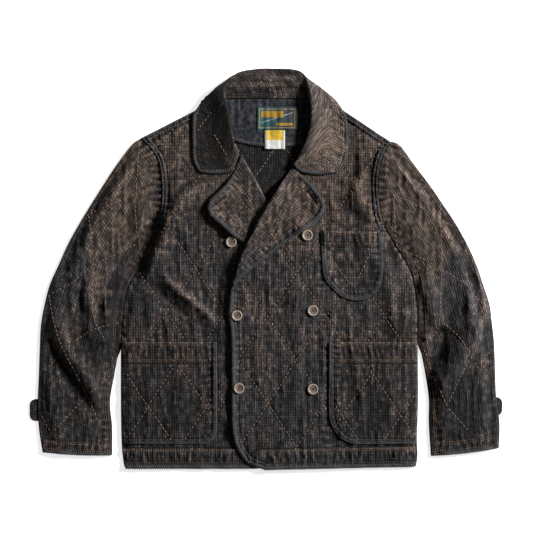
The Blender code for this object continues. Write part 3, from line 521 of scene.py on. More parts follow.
def graded(length: float, cell: float, edge: Sequence[float] = EDGE_ROWS) -> Array:
    """Shares of a length for the lines of a grid, closer together towards both ends.

    Args:
        length: the length that they divide.
        cell: the spacing in the middle.
        edge: how far from each end the first few lines lie.

    Returns:
        Shares from 0 to 1.
    """
    inner = length - 2 * edge[-1]
    middle = edge[-1] + inner * np.linspace(0, 1, max(2, round(inner / cell)) + 1)[1:-1]
    near = np.array(edge)
    return np.concatenate([[0.0], near, middle, length - near[::-1], [length]]) / length


def smoothstep(value: Array, low: float, high: float) -> Array:
    """0 up to low, 1 from high on, and a soft slope between."""
    t = np.clip((value - low) / (high - low), 0.0, 1.0)
    return t * t * (3 - 2 * t)


def unit(vectors: Array) -> Array:
    """The same vectors with a length of 1."""
    return vectors / np.maximum(np.linalg.norm(vectors, axis=-1, keepdims=True), 1e-9)


def inside(x: Array, y: Array, outline: Array) -> Array:
    """True where a point of the plan lies inside a closed outline."""
    crossed = np.zeros(np.shape(x), bool)
    for (x0, y0), (x1, y1) in zip(outline, np.roll(outline, -1, axis=0)):
        if y0 != y1:
            crossed ^= ((y0 > y) != (y1 > y)) & (x < (x1 - x0) * (y - y0) / (y1 - y0) + x0)
    return crossed


class Trace:
    """A line on the plan that heights and seams are measured from."""

    def __init__(self, line: Array) -> None:
        """Keeps the line, at most one point for each place."""
        self.line = np.asarray(line, float)
        self.steps = np.diff(self.line, axis=0)
        self.lengths = np.linalg.norm(self.steps, axis=1)
        self.starts = np.concatenate([[0.0], np.cumsum(self.lengths)])
        self.length = float(self.starts[-1])

    def measure(self, x: Array, y: Array, reach: float = FAR) -> tuple[Array, Array, Array]:
        """Where points of the plan lie beside the line.

        Args:
            x: their X.
            y: their Y.
            reach: how far from the line they are still measured.

        Returns:
            Their distance from the line, how far along it they lie, and their side of it, 1 to the
            left of its direction. Points out of reach have a distance of FAR.
        """
        found = np.full(np.shape(x), FAR), np.zeros(np.shape(x)), np.ones(np.shape(x))
        low, high = self.line.min(0) - reach, self.line.max(0) + reach
        near = (x > low[0]) & (x < high[0]) & (y > low[1]) & (y < high[1])
        px, py = np.asarray(x)[near], np.asarray(y)[near]
        best, along, side = np.full(px.shape, FAR), np.zeros(px.shape), np.ones(px.shape)
        for start, step, length, done in zip(self.line, self.steps, self.lengths, self.starts):
            way = step / length
            run = np.clip((px - start[0]) * way[0] + (py - start[1]) * way[1], 0.0, length)
            away_x, away_y = px - start[0] - run * way[0], py - start[1] - run * way[1]
            distance = np.hypot(away_x, away_y)
            closer = distance < best
            best = np.where(closer, distance, best)
            along = np.where(closer, done + run, along)
            side = np.where(closer, np.sign(way[0] * away_y - way[1] * away_x), side)
        for values, new in zip(found, (best, along, side)):
            values[near] = new
        return found


class Grain:
    """Smooth random heights over a plane, the same on every run."""

    SIZE = 256

    def __init__(self, seed: int) -> None:
        """Fills the lattice of values from its seed."""
        self.values = np.random.default_rng(seed).uniform(-1.0, 1.0, (self.SIZE, self.SIZE))

    def at(self, u: Array, v: Array) -> Array:
        """Values from -1 to 1 where one unit is one cell of the lattice."""
        i, j = np.floor(u).astype(int), np.floor(v).astype(int)
        s, t = u - i, v - j
        s, t = s * s * (3 - 2 * s), t * t * (3 - 2 * t)
        i, j, k, m = i % self.SIZE, j % self.SIZE, (i + 1) % self.SIZE, (j + 1) % self.SIZE
        low = self.values[i, j] * (1 - s) + self.values[k, j] * s
        high = self.values[i, m] * (1 - s) + self.values[k, m] * s
        return low * (1 - t) + high * t


@dataclass(frozen=True)
class Crease:
    """A soft ridge or trough that dies away at its ends."""

    points: Points
    rise: float
    left: float
    right: float

    def height(self, x: Array, y: Array) -> Array:
        """Its height at points of the plan."""
        trace = Trace(smooth_line(self.points, 16.0))
        distance, along, side = trace.measure(x, y, 2.6 * max(self.left, self.right))
        share = along / trace.length
        width = np.where(side > 0, self.left, self.right)
        ends = smoothstep(np.minimum(share, 1 - share), -0.02, 0.28)
        return self.rise * ends * np.exp(-(distance / width) ** 2)


@dataclass(frozen=True)
class Groove:
    """The dip that a row of stitches pulls into the cloth."""

    trace: Trace
    depth: float = 0.7
    width: float = 2.2

    def height(self, x: Array, y: Array) -> Array:
        """Its height at points of the plan."""
        distance = self.trace.measure(x, y, 3 * self.width)[0]
        return -self.depth * np.exp(-(distance / self.width) ** 2)


@dataclass(frozen=True)
class Band:
    """A strip beside a line where a second layer of cloth lies in the seam."""

    trace: Trace
    width: float
    rise: float
    side: int

    def height(self, x: Array, y: Array) -> Array:
        """Its height at points of the plan."""
        distance, _, side = self.trace.measure(x, y, self.width + 4)
        level = 1 - smoothstep(distance, self.width - 1.4, self.width + 1.0)
        return self.rise * np.where(side * self.side > 0, level, 1 - smoothstep(distance, 0.0, 1.4))


@dataclass(frozen=True)
class Pucker:
    """Short ripples across a seam, where its thread has drawn the cloth up."""

    trace: Trace
    height_of: float
    pitch: float
    reach: float
    seed: int
    centre: float = 0.0

    def height(self, x: Array, y: Array) -> Array:
        """Their height at points of the plan."""
        distance, along, _ = self.trace.measure(x, y, self.centre + 2.4 * self.reach)
        grain = Grain(self.seed)
        phase = 2 * math.pi * along / self.pitch + 3.2 * grain.at(along / 31, distance / 40)
        strength = 0.62 + 0.5 * grain.at(along / 17 + 9, distance * 0)
        fade = np.exp(-((distance - self.centre) / self.reach) ** 2)
        return self.height_of * fade * strength * np.sin(phase)


@dataclass(frozen=True)
class Lift:
    """An edge that stands off what it lies on."""

    trace: Trace
    rise: float
    reach: float
    fade: float = 0.2

    def height(self, x: Array, y: Array) -> Array:
        """Its height at points of the plan, most at the line."""
        distance, along, _ = self.trace.measure(x, y, 3 * self.reach)
        share = along / self.trace.length
        ends = smoothstep(np.minimum(share, 1 - share), 0.0, self.fade)
        return self.rise * ends * np.exp(-(distance / self.reach) ** 2)


@dataclass(frozen=True)
class Turned:
    """An edge that is turned down round a fold or a seam."""

    trace: Trace
    drop: float
    radius: float

    def height(self, x: Array, y: Array) -> Array:
        """Its height at points of the plan."""
        distance = self.trace.measure(x, y, self.radius)[0]
        short = np.clip(1 - distance / self.radius, 0.0, 1.0)
        return -self.drop * (1 - np.sqrt(1 - short**2))


@dataclass(frozen=True)
class Lattice:
    """Diamond quilting: two families of straight rows that cross each other."""

    across: float
    along: float
    wide: float = 111.0
    tall: float = 166.0
    depth: float = 0.9
    width: float = 3.6
    waver: float = 1.6

    def warp(self, p: Array, q: Array) -> Array:
        """How far the rows stray sideways at places of the cloth."""
        return self.waver * Grain(31).at(p / 38 + self.across, q / 47 + self.along)

    def shares(self, p: Array, q: Array) -> tuple[Array, Array]:
        """The counts of rows of both families up to places of the cloth."""
        p = p + self.warp(p, q)
        a, b = (p - self.across) / self.wide, (q - self.along) / self.tall
        return a + b, a - b

    def height(self, p: Array, q: Array) -> Array:
        """The rows' dip at places of the cloth."""
        spacing = 1 / math.hypot(1 / self.wide, 1 / self.tall)
        dip = np.zeros(np.shape(p))
        for share in self.shares(p, q):
            distance = np.abs(share - np.round(share)) * spacing
            dip -= self.depth * np.exp(-(distance / self.width) ** 2)
        return dip

    def rows(self, low: tuple[float, float], high: tuple[float, float]) -> Iterable[Array]:
        """The rows that cross a box of the cloth.

        Args:
            low: the box's lowest corner.
            high: its highest corner.

        Yields:
            The points of one row, closely spaced.
        """
        for sign in (1, -1):
            corners = [(p - self.across) / self.wide + sign * (q - self.along) / self.tall
                       for p in (low[0], high[0]) for q in (low[1], high[1])]
            for count in range(math.ceil(min(corners)), math.floor(max(corners)) + 1):
                q = np.arange(low[1], high[1], 2.0)
                p = self.across + self.wide * (count - sign * (q - self.along) / self.tall)
                p = p - self.warp(p, q)
                kept = (p > low[0]) & (p < high[0])
                if kept.sum() > 4:
                    yield np.stack([p[kept], q[kept]], axis=1)


# What raises or sinks the surface of a sheet.
Mark = Crease | Groove | Band | Pucker | Lift | Turned | Lattice


class Ground:
    """How high the layers of the body lie over the surface, anywhere on the plan."""

    def __init__(self) -> None:
        """Prepares the lines that the layers are measured from."""
        self.sides = [Trace(smooth_line(SIDE_RIGHT, 11)), Trace(smooth_line(SIDE_LEFT, 11))]
        self.hem = Trace(np.array(HEM_BACK, float))
        self.shoulders = [Trace(np.array(SHOULDER_RIGHT, float)), Trace(np.array(SHOULDER_LEFT, float))]
        self.collar = np.array(COLLAR_ZONE, float)
        self.folds = [Crease(*fold) for fold in FOLDS]
        self.creases = [Crease(*crease) for crease in CREASES]
        self.roll = Lift(Trace(joined(OVER_ROLL, OVER_EDGE)), 5.0, 19.0, 0.1)
        self.fine, self.middle, self.coarse = Grain(3), Grain(5), Grain(8)
        self.under_front = np.concatenate([
            smooth_line(SIDE_RIGHT, 11)[::-1], smooth_line(ARMHOLE_RIGHT, 11)[::-1],
            smooth_line(SHOULDER_UNDER_COLLAR_RIGHT), smooth_line(NECK_RIGHT, 11),
            smooth_line(UNDER_ROLL, 11), smooth_line(UNDER_HIDDEN_EDGE, 11)])
        self.under_lapel = np.concatenate([smooth_line(UNDER_LAPEL_ROLL, 11),
                                           np.array(UNDER_LAPEL_TIP, float),
                                           smooth_line(UNDER_LAPEL_FOOT, 11)[::-1]])

    def neck(self, y: Array) -> Array:
        """How far the neck is raised over the collar's fall."""
        return NECK_LIFT * smoothstep(y, NECK_LIFT_FROM, NECK_LIFT_TO)

    def open_air(self, x: Array, y: Array) -> Array:
        """The air and large folds under the upper cloth, before any edge closes it."""
        return np.maximum(BODY_AIR + sum(fold.height(x, y) for fold in self.folds), LEAST_AIR)

    def outside(self, x: Array, y: Array, outline: Array, reach: float) -> Array:
        """How far a place lies outside a closed outline, and 0 within it."""
        distance = Trace(np.vstack([outline, outline[:1]])).measure(x, y, reach + 2)[0]
        return np.where(inside(x, y, outline), 0.0, distance)

    def calm(self, x: Array, y: Array, reach: float = COLLAR_FADE) -> Array:
        """0 under the collar, where the cloth is pressed flat, and 1 from this far away from it."""
        return smoothstep(self.outside(x, y, self.collar, reach), 2.0, reach)

    def detail(self, x: Array, y: Array) -> Array:
        """The smaller creases and the crinkle of the body, which all its layers share."""
        side = np.minimum(*[trace.measure(x, y, 20.0)[0] for trace in self.sides])
        creases = sum(crease.height(x, y) for crease in self.creases) * smoothstep(side, 0.0, 16.0)
        return (creases + self.crinkle(x, y)) * (0.2 + 0.8 * self.calm(x, y, 15.0))

    def crinkle(self, p: Array, q: Array) -> Array:
        """The crinkle of washed cloth, longer along the warp than across it."""
        ridges = 1.8 * (0.36 - np.sqrt(self.middle.at(p / 13, q / 61) ** 2 + 0.004))
        long = 0.9 * self.coarse.at(p / 24 + 4, q / 75)
        short = 0.62 * self.fine.at(p / 6.2, q / 24) + 0.55 * self.fine.at(p / 9 + 40, q / 7)
        return ridges + long + short

    def air(self, x: Array, y: Array) -> Array:
        """The air and folds under the fronts, closed at the sides, the hem and the shoulders."""
        side = np.minimum(*[trace.measure(x, y)[0] for trace in self.sides])
        shoulder = np.minimum(*[trace.measure(x, y)[0] for trace in self.shoulders])
        hem = HEM_AIR + (1 - HEM_AIR) * smoothstep(self.hem.measure(x, y)[0], 0.0, HEM_FADE)
        closed = smoothstep(side, 0.0, SIDE_FADE) * smoothstep(shoulder, 0.0, SIDE_FADE)
        return self.open_air(x, y) * closed * hem * self.calm(x, y)

    def covers(self, x: Array, y: Array, outline: Array) -> Array:
        """1 over a lower piece and a little past it, falling softly to 0."""
        return 1 - smoothstep(self.outside(x, y, outline, COVER_FADE), COVER_HOLD, COVER_FADE)

    def back(self, x: Array, y: Array) -> Array:
        """The top of the back panel."""
        return self.neck(y) + CLOTH

    def facing(self, x: Array, y: Array) -> Array:
        """The top of the facing inside the neck."""
        return self.neck(y) + LAYER + FACING_CLOTH

    def under(self, x: Array, y: Array) -> Array:
        """The top of the right front, which lies under the other."""
        return self.neck(y) + self.air(x, y) + LAYER + CLOTH + self.detail(x, y)

    def over(self, x: Array, y: Array) -> Array:
        """The top of the left front, which laps over the right one."""
        hidden = self.covers(x, y, self.under_front) + self.covers(x, y, self.under_lapel)
        return self.under(x, y) + LAYER * hidden + self.roll.height(x, y)

    def on_under(self, x: Array, y: Array) -> Array:
        """The top of what lies on the right front."""
        return self.under(x, y) + LAYER

    def on_over(self, x: Array, y: Array) -> Array:
        """The top of what lies on the left front."""
        return self.over(x, y) + LAYER


@dataclass
class Skin:
    """A grid of points that becomes one face of a shell."""

    points: Array
    cloth: Array
    overdye: Array
    # wear makes the cloth lighter or darker: wear where it stands out, painted shade in its hollows and clouds of
    # painted light and shade.
    wear: Array

    def thinned(self, rows: Array, columns: Array, points: Array) -> "Skin":
        """A coarser face with some of its rows and columns, at other points."""
        pick = np.ix_(rows, columns)
        return Skin(points, self.cloth[pick], self.overdye[pick], self.wear[pick])


def patch(left: Array, right: Array, top: Array, bottom: Array, rows: Array, columns: Array) -> Array:
    """A grid of plan points between four lines.

    Args:
        left: the line down the left side.
        right: the line down the right side.
        top: the line across the top, from left to right.
        bottom: the line across the bottom, from left to right.
        rows: shares down the sides.
        columns: shares across.

    Returns:
        The grid, rows by columns by two.
    """
    down, across = rows[:, None, None], columns[None, :, None]
    side = (1 - across) * walk(left, rows)[:, None] + across * walk(right, rows)[:, None]
    ends = (1 - down) * walk(top, columns)[None] + down * walk(bottom, columns)[None]
    corners = ((1 - down) * ((1 - across) * left[0] + across * right[0])
               + down * ((1 - across) * left[-1] + across * right[-1]))
    return side + ends - corners


def thinned(count: int, stride: int) -> Array:
    """Every so many of the first numbers, with the last one kept."""
    return np.unique(np.append(np.arange(0, count, stride), count - 1))


def quads(index: Array) -> Array:
    """The four corners of each cell of a grid of vertex numbers."""
    return np.stack([index[:-1, :-1], index[:-1, 1:], index[1:, 1:], index[1:, :-1]], -1).reshape(-1, 4)


def zipped(fine: Array, coarse: Array, kept: Array) -> list[list[int]]:
    """Triangles between two borders, one with all the points and one with some of them.

    Args:
        fine: the vertex numbers of the first border.
        coarse: the vertex numbers of the second one.
        kept: which points of the first one the second one has.

    Returns:
        The triangles.
    """
    faces = []
    for k in range(len(kept) - 1):
        start, end = int(kept[k]), int(kept[k + 1])
        middle = (start + end) // 2
        faces += [[coarse[k], fine[i], fine[i + 1]] for i in range(start, middle)]
        faces.append([coarse[k], fine[middle], coarse[k + 1]])
        faces += [[coarse[k + 1], fine[i], fine[i + 1]] for i in range(middle, end)]
    return faces


def shell(name: str, skins: Sequence[Skin], faces: Iterable[Sequence[int]]) -> bpy.types.Object:
    """A smooth object from several faces of points.

    Args:
        name: the object's name.
        skins: the points of its faces, numbered one after the other.
        faces: its polygons by vertex number.

    Returns:
        The object, with its map and attributes.
    """
    points = np.concatenate([skin.points.reshape(-1, 3) for skin in skins]) * MM
    points[:, 1] -= MIDDLE_Y * MM
    made = plain_mesh(name + "_cloth", points, faces)
    mesh = made.data
    cloth = np.concatenate([skin.cloth.reshape(-1, 2) for skin in skins]) * MM
    layer = mesh.uv_layers.new(name="cloth")
    corners = np.zeros(len(mesh.loops), int)
    mesh.loops.foreach_get("vertex_index", corners)
    layer.data.foreach_set("uv", cloth[corners].astype(np.float32).ravel())
    # The wear attribute carries painted light and shade along with real wear.
    for key in ("overdye", "wear"):
        values = np.concatenate([getattr(skin, key).ravel() for skin in skins])
        mesh.attributes.new(key, "FLOAT", "POINT").data.foreach_set("value", values.astype(np.float32))
    return made


def closed(name: str, upper: Skin, under: Skin, rows: Array, columns: Array) -> bpy.types.Object:
    """A sheet with a fine upper face and a coarse under face, closed round its border.

    Args:
        name: the object's name.
        upper: the fine face.
        under: the coarse one.
        rows: which rows of the fine face the coarse one has.
        columns: which of its columns.

    Returns:
        The object.
    """
    high = np.arange(upper.points[..., 0].size).reshape(upper.points.shape[:2])
    low = high.size + np.arange(under.points[..., 0].size).reshape(under.points.shape[:2])
    faces = quads(high).tolist() + quads(low)[:, ::-1].tolist()
    for fine, coarse, kept in ((high[0], low[0], columns), (high[-1], low[-1], columns),
                               (high[:, 0], low[:, 0], rows), (high[:, -1], low[:, -1], rows)):
        faces += zipped(fine, coarse, kept)
    return shell(name, (upper, under), faces)


class Dye:
    """Where the brown overdye has taken, from 0 to 1, and where the cloth is made lighter or darker, much of it
    painted light and shade.

    Both lists hold round clouds: their middle on the plan, their reach and their strength.
    """

    # The last cloud takes dye out where the back's inside shows in the neck's opening, partly for that plainer inside
    # and partly as painted shade under the collar and lapels.
    PLACES = [(-170, 250, 95, 0.95), (180, 245, 95, 0.95), (-262, 160, 85, 0.9), (268, 160, 85, 0.95),
              (-300, 60, 70, 0.45), (320, 60, 70, 0.4), (-80, 140, 70, 0.55), (80, 130, 80, 0.8),
              (-20, 250, 110, 0.5), (-150, 90, 80, 0.4), (160, 100, 90, 0.4), (-180, -150, 90, 0.28),
              (205, -150, 90, 0.28), (20, -60, 90, 0.3), (-350, -150, 70, 0.22), (380, -120, 70, 0.2),
              (5, 205, 44, -0.75)]

    # Clouds that make the cloth lighter above 0 and darker below it. The small dark ones on the left chest, the chest
    # pocket, under the left arm and down the right sleeve's inner edge are painted shade in hollows. The light ones on
    # both sleeves and on a ridge of the left sleeve are painted light. The broad dark ones over the right chest, the
    # left shoulder, the lower body, the hems and the lower sleeves darken the cloth there.
    FADED = [(200, -250, 105, -0.75), (-190, -250, 95, -0.65), (0, -375, 60, -0.45), (-200, -365, 60, -0.45),
             (200, -365, 60, -0.35), (378, -270, 80, -0.60), (-365, -270, 70, -0.40), (-345, -20, 60, 0.60),
             (190, 235, 60, -0.15), (-160, 110, 60, -0.45), (330, -40, 60, 0.60), (388, -70, 22, 0.80),
             (326, -180, 45, -0.45), (-362, -160, 50, -0.45), (201, 192, 17, -1.50), (203, 152, 13, -1.10),
             (150, 125, 17, -1.20), (180, 100, 17, -1.30), (171, 46, 13, -1.50), (172, 14, 10, -1.10),
             (205, -8, 18, -1.60), (236, 38, 15, -1.20), (254, -112, 22, -1.60), (262, -62, 16, -0.90),
             (-283, -24, 13, -2.60), (-288, -62, 15, -2.80), (-290, -102, 15, -2.80), (-292, -140, 15, -2.40)]

    def __init__(self) -> None:
        """Prepares its clouds."""
        self.large, self.small = Grain(12), Grain(13)

    def spread(self, clouds: Iterable[tuple[float, ...]], x: Array, y: Array) -> Array:
        """The sum of some clouds at points of the plan."""
        return sum(share * np.exp(-((x - px) ** 2 + (y - py) ** 2) / reach**2)
                   for px, py, reach, share in clouds)

    def faded(self, x: Array, y: Array) -> Array:
        """How much lighter the cloth is made at points of the plan, or darker where below 0, much of it painted light
        and shade.
        """
        return self.spread(self.FADED, x, y)

    def at(self, x: Array, y: Array) -> Array:
        """The strength at points of the plan."""
        amount = self.spread(self.PLACES, x, y)
        clouds = 0.24 * self.large.at(x / 52, y / 64) + 0.18 * self.small.at(x / 15, y / 19)
        return np.clip(0.25 + 0.52 * amount + clouds, 0.0, 1.0)


# A strip beside a line: the line, its width, how much dye and wear it adds, and its side.
Tint = tuple[Trace, float, float, float, int]


@dataclass
class Pattern:
    """One piece of cloth by its four edges on the plan, with all that shapes its surface."""

    name: str
    left: Array
    right: Array
    top: Array
    bottom: Array
    height: Height
    marks: Sequence[Mark] = ()
    turned: dict[str, tuple[float, float]] = field(default_factory=dict)
    corner: float | None = None
    plain_turn: tuple[float, float] = (1.2, 0.8)
    least: float = 0.5
    thin: float = 0.8
    cell: float = 2.4
    wall: float = 1.7
    stride: int = 3
    turn: float = 0.0
    tints: Sequence[Tint] = ()
    # How much lighter the whole piece is made, or darker below 0; the back panel's darkening is painted shade.
    faded: float = 0.0

    def grid(self) -> Array:
        """Its grid of plan points."""
        long = 0.5 * (length_of(self.left) + length_of(self.right))
        wide = max(length_of(self.top), length_of(self.bottom), self.breadth())
        rows, columns = graded(long, self.cell), graded(wide, self.cell)
        if self.corner:
            rows[int(np.argmin(np.abs(rows - self.corner)))] = self.corner
        return patch(self.left, self.right, self.top, self.bottom, rows, columns)

    def breadth(self) -> float:
        """Its width half way down."""
        half = np.array([0.25, 0.5])
        return float(np.linalg.norm(walk(self.left, half) - walk(self.right, half), axis=1).max())

    def sides(self) -> dict[str, Trace]:
        """Its edges as lines to measure from."""
        return {key: Trace(getattr(self, key)) for key in ("left", "right", "top", "bottom")}

    def build(self, dye: Dye) -> bpy.types.Object:
        """Makes the sheet.

        Args:
            dye: where its overdye lies.

        Returns:
            The object.
        """
        plan = self.grid()
        x, y = plan[..., 0], plan[..., 1]
        level = self.height(x, y)
        rise = sum((mark.height(x, y) for mark in self.marks), np.zeros(x.shape))
        sides = self.sides()
        for key, (radius, drop) in {**dict.fromkeys(sides, self.plain_turn), **self.turned}.items():
            rise = rise + Turned(sides[key], drop, radius).height(x, y)
        points = np.dstack([x, y, np.maximum(level + rise, self.least)])
        angle = math.radians(self.turn)
        cloth = np.dstack([x * math.cos(angle) + y * math.sin(angle),
                           y * math.cos(angle) - x * math.sin(angle)])
        # wear: wear where the cloth stands out and painted shade in its hollows, the clouds of painted light and
        # shade, and the piece's own lighter or darker tone.
        wear = ridge_wear_and_hollow_shade(points[..., 2]) + dye.faded(x, y) + self.faded
        upper = Skin(points, cloth, *tinted(dye.at(x, y), wear, x, y, self.tints))
        rows, columns = thinned(len(x), self.stride), thinned(len(x[0]), self.stride)
        lower = points[np.ix_(rows, columns)].copy()
        depth = np.full(lower.shape[:2], self.wall)
        depth[[0, -1]] = depth[:, [0, -1]] = self.thin
        lower[..., 2] = np.maximum(lower[..., 2] - depth, 0.0)
        return closed(self.name, upper, upper.thinned(rows, columns, lower), rows, columns)


def tinted(dye: Array, wear: Array, x: Array, y: Array, tints: Iterable[Tint]) -> tuple[Array, Array]:
    """The dye and the wear with more or less of them in strips beside lines.

    Args:
        dye: the dye before.
        wear: the wear before.
        x: the points' X.
        y: the points' Y.
        tints: the strips.

    Returns:
        The dye from 0 to 1, and the wear.
    """
    for trace, width, dyed, faded, side in tints:
        distance, _, found = trace.measure(x, y, width + 6)
        level = (1 - smoothstep(distance, width - 1.2, width + 1.6)) * (found * side > 0)
        dye, wear = dye + dyed * level, wear + faded * level
    return np.clip(dye, 0.0, 1.0), wear


def ridge_wear_and_hollow_shade(z: Array) -> Array:
    """How far each place of a grid stands above its surroundings, within a set limit either way: raised places count
    as wear, hollows as painted shade.
    """
    soft = z.copy()
    for _ in range(SHADE_AND_WEAR_TURNS):
        padded = np.pad(soft, 1, mode="edge")
        soft = (padded[:-2, 1:-1] + padded[2:, 1:-1] + padded[1:-1, :-2] + padded[1:-1, 2:]) / 4
    return np.clip((z - soft) / SHADE_AND_WEAR_RISE, -SHADE_AND_WEAR_MOST, SHADE_AND_WEAR_MOST)


@dataclass
class Tube:
    """A sleeve: a flattened tube between an outer and an inner edge, open at both ends."""

    name: str
    outer: Array
    inner: Array
    armhole: Array
    cuff: Array
    height: Height
    marks: Sequence[Mark] = ()
    cell: float = 2.4
    flat: float = 5.3
    least: float = 4.2
    least_wide: float = 200.0
    calm_edge: float = 9.0
    round_top: float = 5.0
    round_floor: float = 3.0
    hollow: float = 1.75
    hollow_inset: float = 1.8
    wall: float = 1.6
    stride: int = 3

    def build(self, dye: Dye) -> bpy.types.Object:
        """Makes the tube.

        Args:
            dye: where its overdye lies.

        Returns:
            The object.
        """
        long = 0.5 * (length_of(self.outer) + length_of(self.inner))
        wide = max(length_of(self.armhole), self.least_wide)
        rows, columns = graded(long, self.cell), graded(wide, self.cell)
        plan = patch(self.outer, self.inner, self.armhole, self.cuff, rows, columns)
        x, y = plan[..., 0], plan[..., 1]
        reach = np.minimum(Trace(self.outer).measure(x, y)[0], Trace(self.inner).measure(x, y)[0])
        rise = sum((mark.height(x, y) for mark in self.marks), np.zeros(x.shape))
        top = self.height(x, y, reach) + rise * smoothstep(reach, 0.0, self.calm_edge)
        top = self.least + np.logaddexp(0.0, 2.0 * (top - self.least)) / 2.0
        short = np.clip(1 - reach / self.round_top, 0.0, 1.0)
        top = top - (top - self.flat / 2) * (1 - np.sqrt(1 - short**2))
        upper = self.skin(x, y, top, rows, columns, dye)
        keep_rows, keep_columns = thinned(len(x), self.stride), thinned(len(x[0]), self.stride)
        pick = np.ix_(keep_rows, keep_columns)
        near = np.clip(1 - reach[pick] / self.round_floor, 0.0, 1.0)
        floor = self.flat / 2 * (1 - np.sqrt(1 - near**2))
        floor[:, [0, -1]] = top[:, [0, -1]][keep_rows]
        ceiling = np.maximum(top[pick] - self.wall, floor + self.hollow)
        lining = np.minimum(floor + self.wall, ceiling - 0.1)
        inset = self.inset(plan[pick], self.hollow_inset)
        layers = [upper] + [upper.thinned(keep_rows, keep_columns, np.dstack([flat_plan, height]))
                            for flat_plan, height in ((plan[pick], floor), (inset, ceiling),
                                                      (inset, lining))]
        return self.stitched(layers, keep_rows, keep_columns)

    def inset(self, plan: Array, distance: float) -> Array:
        """The same grid with its side edges moved inwards."""
        moved = plan.copy()
        for edge, towards in ((0, 1), (-1, -2)):
            moved[:, edge] += distance * unit(plan[:, towards] - plan[:, edge])
        return moved

    def skin(self, x: Array, y: Array, z: Array, rows: Array, columns: Array, dye: Dye) -> Skin:
        """The upper face with its map along the arm.

        Args:
            x: its X.
            y: its Y.
            z: its heights.
            rows: shares down the arm; not used.
            columns: shares across it.
            dye: where its overdye lies.

        Returns:
            The face.
        """
        width = np.hypot(x[:, -1] - x[:, 0], y[:, -1] - y[:, 0])
        across = (columns[None] - 0.5) * width[:, None]
        steps = np.hypot(np.diff(x, axis=0), np.diff(y, axis=0))
        along = np.vstack([np.zeros((1, x.shape[1])), -np.cumsum(steps, axis=0)])
        along = 0.15 * along + 0.85 * along.mean(axis=1, keepdims=True)
        # Its wear is wear where it stands out and painted shade in its hollows, with the clouds of painted light and
        # shade, among them the painted shade down the right sleeve's inner edge.
        return Skin(np.dstack([x, y, z]), np.dstack([across, along]), dye.at(x, y),
                    ridge_wear_and_hollow_shade(z) + dye.faded(x, y))

    def stitched(self, layers: list[Skin], rows: Array, columns: Array) -> bpy.types.Object:
        """Joins the upper face, the floor and the two faces of the hollow.

        Args:
            layers: the upper face, the floor, the hollow's ceiling and its lining.
            rows: the upper face's rows that the others have.
            columns: the upper face's columns that the others have.

        Returns:
            The object.
        """
        starts = np.cumsum([0] + [layer.points[..., 0].size for layer in layers])
        high, floor, ceiling, lining = (
            start + np.arange(layer.points[..., 0].size).reshape(layer.points.shape[:2])
            for start, layer in zip(starts, layers))
        faces = quads(high).tolist() + quads(floor)[:, ::-1].tolist()
        faces += quads(ceiling)[:, ::-1].tolist() + quads(lining).tolist()
        for end in (0, -1):
            faces += zipped(high[:, end], floor[:, end], rows)
            faces += zipped(high[end], ceiling[end], columns)
            faces += band(ceiling[:, end], lining[:, end])
            faces += band(floor[end], lining[end])
        return shell(self.name, layers, faces)


def band(first: Array, second: Array) -> list[list[int]]:
    """Four-sided faces between two borders with the same points."""
    return [[first[i], first[i + 1], second[i + 1], second[i]] for i in range(len(first) - 1)]


@dataclass
class Workroom:
    """What every part of the jacket shares: the layers, the dye, the finishes and what is made."""

    ground: Ground = field(default_factory=Ground)
    dye: Dye = field(default_factory=Dye)
    finishes: dict[Finish, bpy.types.Material] = field(default_factory=dict)
    cloth: dict[str, bpy.types.Object] = field(default_factory=dict)
    made: list[bpy.types.Object] = field(default_factory=list)
    sewn: list[tuple[bpy.types.Object, Finish]] = field(default_factory=list)

    def keep(self, piece: bpy.types.Object, *nodes: str) -> bpy.types.Object:
        """Takes a finished piece in, in the place of the nodes that it stands for."""
        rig.ride(piece, "root")
        if nodes:
            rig.replaces(piece, *nodes)
        self.made.append(piece)
        log.info("%s: %d triangles", piece.name, sum(len(p.vertices) - 2 for p in piece.data.polygons))
        return piece

    def lay(self, pattern: Pattern, held: str, rests: list[str]) -> None:
        """Makes a sheet of cloth and says how it lies.

        Args:
            pattern: the sheet.
            held: what keeps its shape.
            rests: what it lies on.
        """
        piece = pattern.build(self.dye)
        self.cloth[pattern.name] = self.keep(piece, pattern.name)
        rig.sheet(piece, **cut_of(pattern.name), held=held, rests_on=rests)

    def sew(self, name: str, points: Array, faces: Iterable[Sequence[int]], finish: Finish) -> None:
        """Makes a piece of sewing, which gets its finish when the sewing is dressed.

        Args:
            name: its name.
            points: its points in millimetres.
            faces: its faces.
            finish: its finish.
        """
        placed = points * MM
        placed[:, 1] -= MIDDLE_Y * MM
        self.sewn.append((self.keep(plain_mesh(name, placed, faces)), finish))

    def cover(self, *names: str) -> None:
        """Gives pieces their sashiko cloth."""
        for name in names:
            self.wear(self.cloth[name], Finish.SASHIKO, "sashiko_cloth")

    def wear(self, piece: bpy.types.Object, finish: Finish, slot: str | None = None) -> None:
        """Gives a piece its finish.

        Args:
            piece: the piece.
            finish: which finish.
            slot: the part's finish slot that it fills, where it fills one.
        """
        piece.data.materials.clear()
        piece.data.materials.append(self.finishes[finish])
        if slot:
            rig.slot(piece, slot)


